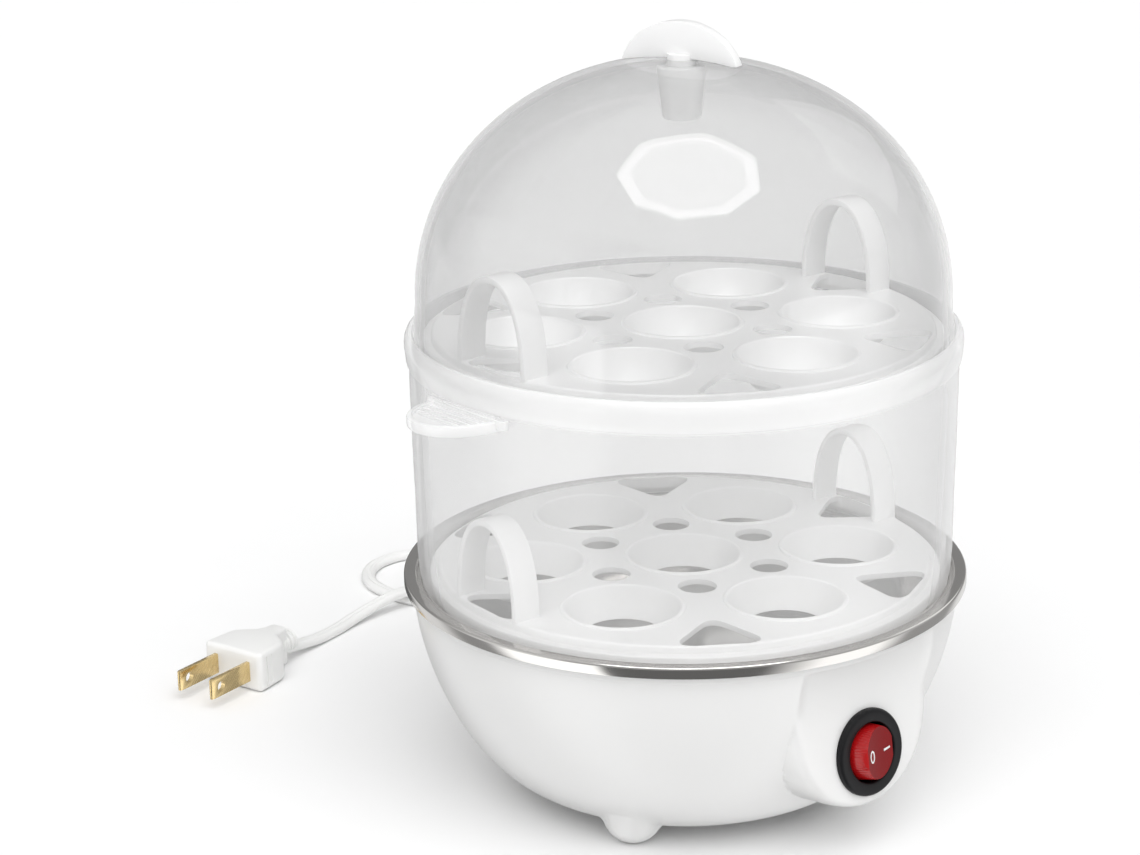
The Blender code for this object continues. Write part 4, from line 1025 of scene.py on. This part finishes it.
def make_surroundings():
    """A soft grey room. Under its horizon, which only reflections see, are cards round the floor."""
    world = bpy.data.worlds.new("studio")
    world.use_nodes = True
    nodes_in, links = world.node_tree.nodes, world.node_tree.links
    where = nodes_in.new("ShaderNodeTexCoord")
    split = nodes_in.new("ShaderNodeSeparateXYZ")
    links.new(where.outputs["Generated"], split.inputs["Vector"])
    turn = nodes_in.new("ShaderNodeTexGradient")
    turn.gradient_type = "RADIAL"
    links.new(where.outputs["Generated"], turn.inputs["Vector"])
    rings = {}
    for name, stops in (
        ("floor", [(0.0, 1.7), (0.036, 1.7), (0.044, 0.16), (0.22, 0.17), (0.29, 1.5), (0.36, 1.5),
                   (0.41, 0.4), (0.5, 0.4), (0.53, 0.9), (0.58, 0.9), (0.62, 0.13), (0.72, 0.13),
                   (0.76, 0.9), (0.81, 0.9), (0.85, 0.35), (0.9, 0.35), (0.93, 1.6), (1.0, 1.7)]),
        ("walls", [(0.0, 0.5), (0.14, 0.35), (0.28, 0.45), (0.42, 0.6), (0.52, 0.3), (0.78, 0.28),
                   (0.88, 0.85), (1.0, 0.5)]),
    ):
        rings[name] = nodes_in.new("ShaderNodeValToRGB")
        set_stops(rings[name], stops)
        links.new(turn.outputs["Fac"], rings[name].inputs["Fac"])
    colour = rings["floor"].outputs["Color"]
    for name, low, high in (("walls", -0.03, 0.05), ("ceiling", 0.35, 0.9)):
        step = nodes_in.new("ShaderNodeMapRange")
        step.interpolation_type = "SMOOTHSTEP"
        step.inputs["From Min"].default_value = low
        step.inputs["From Max"].default_value = high
        links.new(split.outputs["Z"], step.inputs["Value"])
        mix = nodes_in.new("ShaderNodeMix")
        mix.data_type = "RGBA"
        links.new(step.outputs["Result"], mix.inputs["Factor"])
        links.new(colour, mix.inputs["A"])
        if name == "walls":
            links.new(rings[name].outputs["Color"], mix.inputs["B"])
        else:
            mix.inputs["B"].default_value = (0.62, 0.62, 0.62, 1.0)
        colour = mix.outputs["Result"]
    links.new(colour, nodes_in["Background"].inputs["Color"])
    nodes_in["Background"].inputs["Strength"].default_value = 1.0
    scene.world = world


def make_studio():
    """A white floor, a wide soft light and the bright cards that show in the dome."""
    corners = [(-9000, -9000, 0), (9000, -9000, 0), (9000, 9000, 0), (-9000, 9000, 0)]
    floor = add_mesh("floor", corners, [(0, 1, 2, 3)])
    paper = moulded("paper_floor", (0.94, 0.94, 0.94), 0.9, grain=900.0)
    paper.node_tree.nodes["Principled BSDF"].inputs["Specular IOR Level"].default_value = 0.1
    floor.data.materials.append(paper)
    floor.visible_glossy = False
    turns = [math.radians(22.5 + 45 * i) for i in range(8)]
    octagon = [(520 * math.cos(turn), 520 * math.sin(turn)) for turn in turns]
    reflected_card("octagon_card", octagon, (-110, -200, 1290), 4.4)
    reflected_card("octagon_core", [(0.8 * x, 0.8 * y) for x, y in octagon], (-110, -200, 1288), 3.0)
    side = [(-450, -350), (450, -350), (450, 350), (-450, 350)]
    reflected_card("right_card", side, (1250, 50, 880), 1.1)
    reflected_card("left_card", side, (-1250, 500, 560), 0.9)
    sun("key_sun", (-0.35, -0.6, 1.0), 2.1, 70.0)
    make_surroundings()
    scene.view_settings.view_transform = "Standard"


# ---------------------------------------------------------------- everything

make_base()
make_pan()
make_switch()
make_tray("lower_tray", "lower_egg_tray", "lower_tray", LEDGE_HEIGHT + GAP, -4.3)
make_ring()
make_tray("upper_tray", "upper_egg_tray", "upper_tray", LEDGE_HEIGHT + STACK_PITCH + GAP, 0.0)
make_lid()
make_strain_relief()
cord, cord_path, cord_length = make_cord()
on_cord = make_tie() + make_plug()
make_studio()
for helper in helpers:
    bpy.data.objects.remove(helper, do_unlink=True)
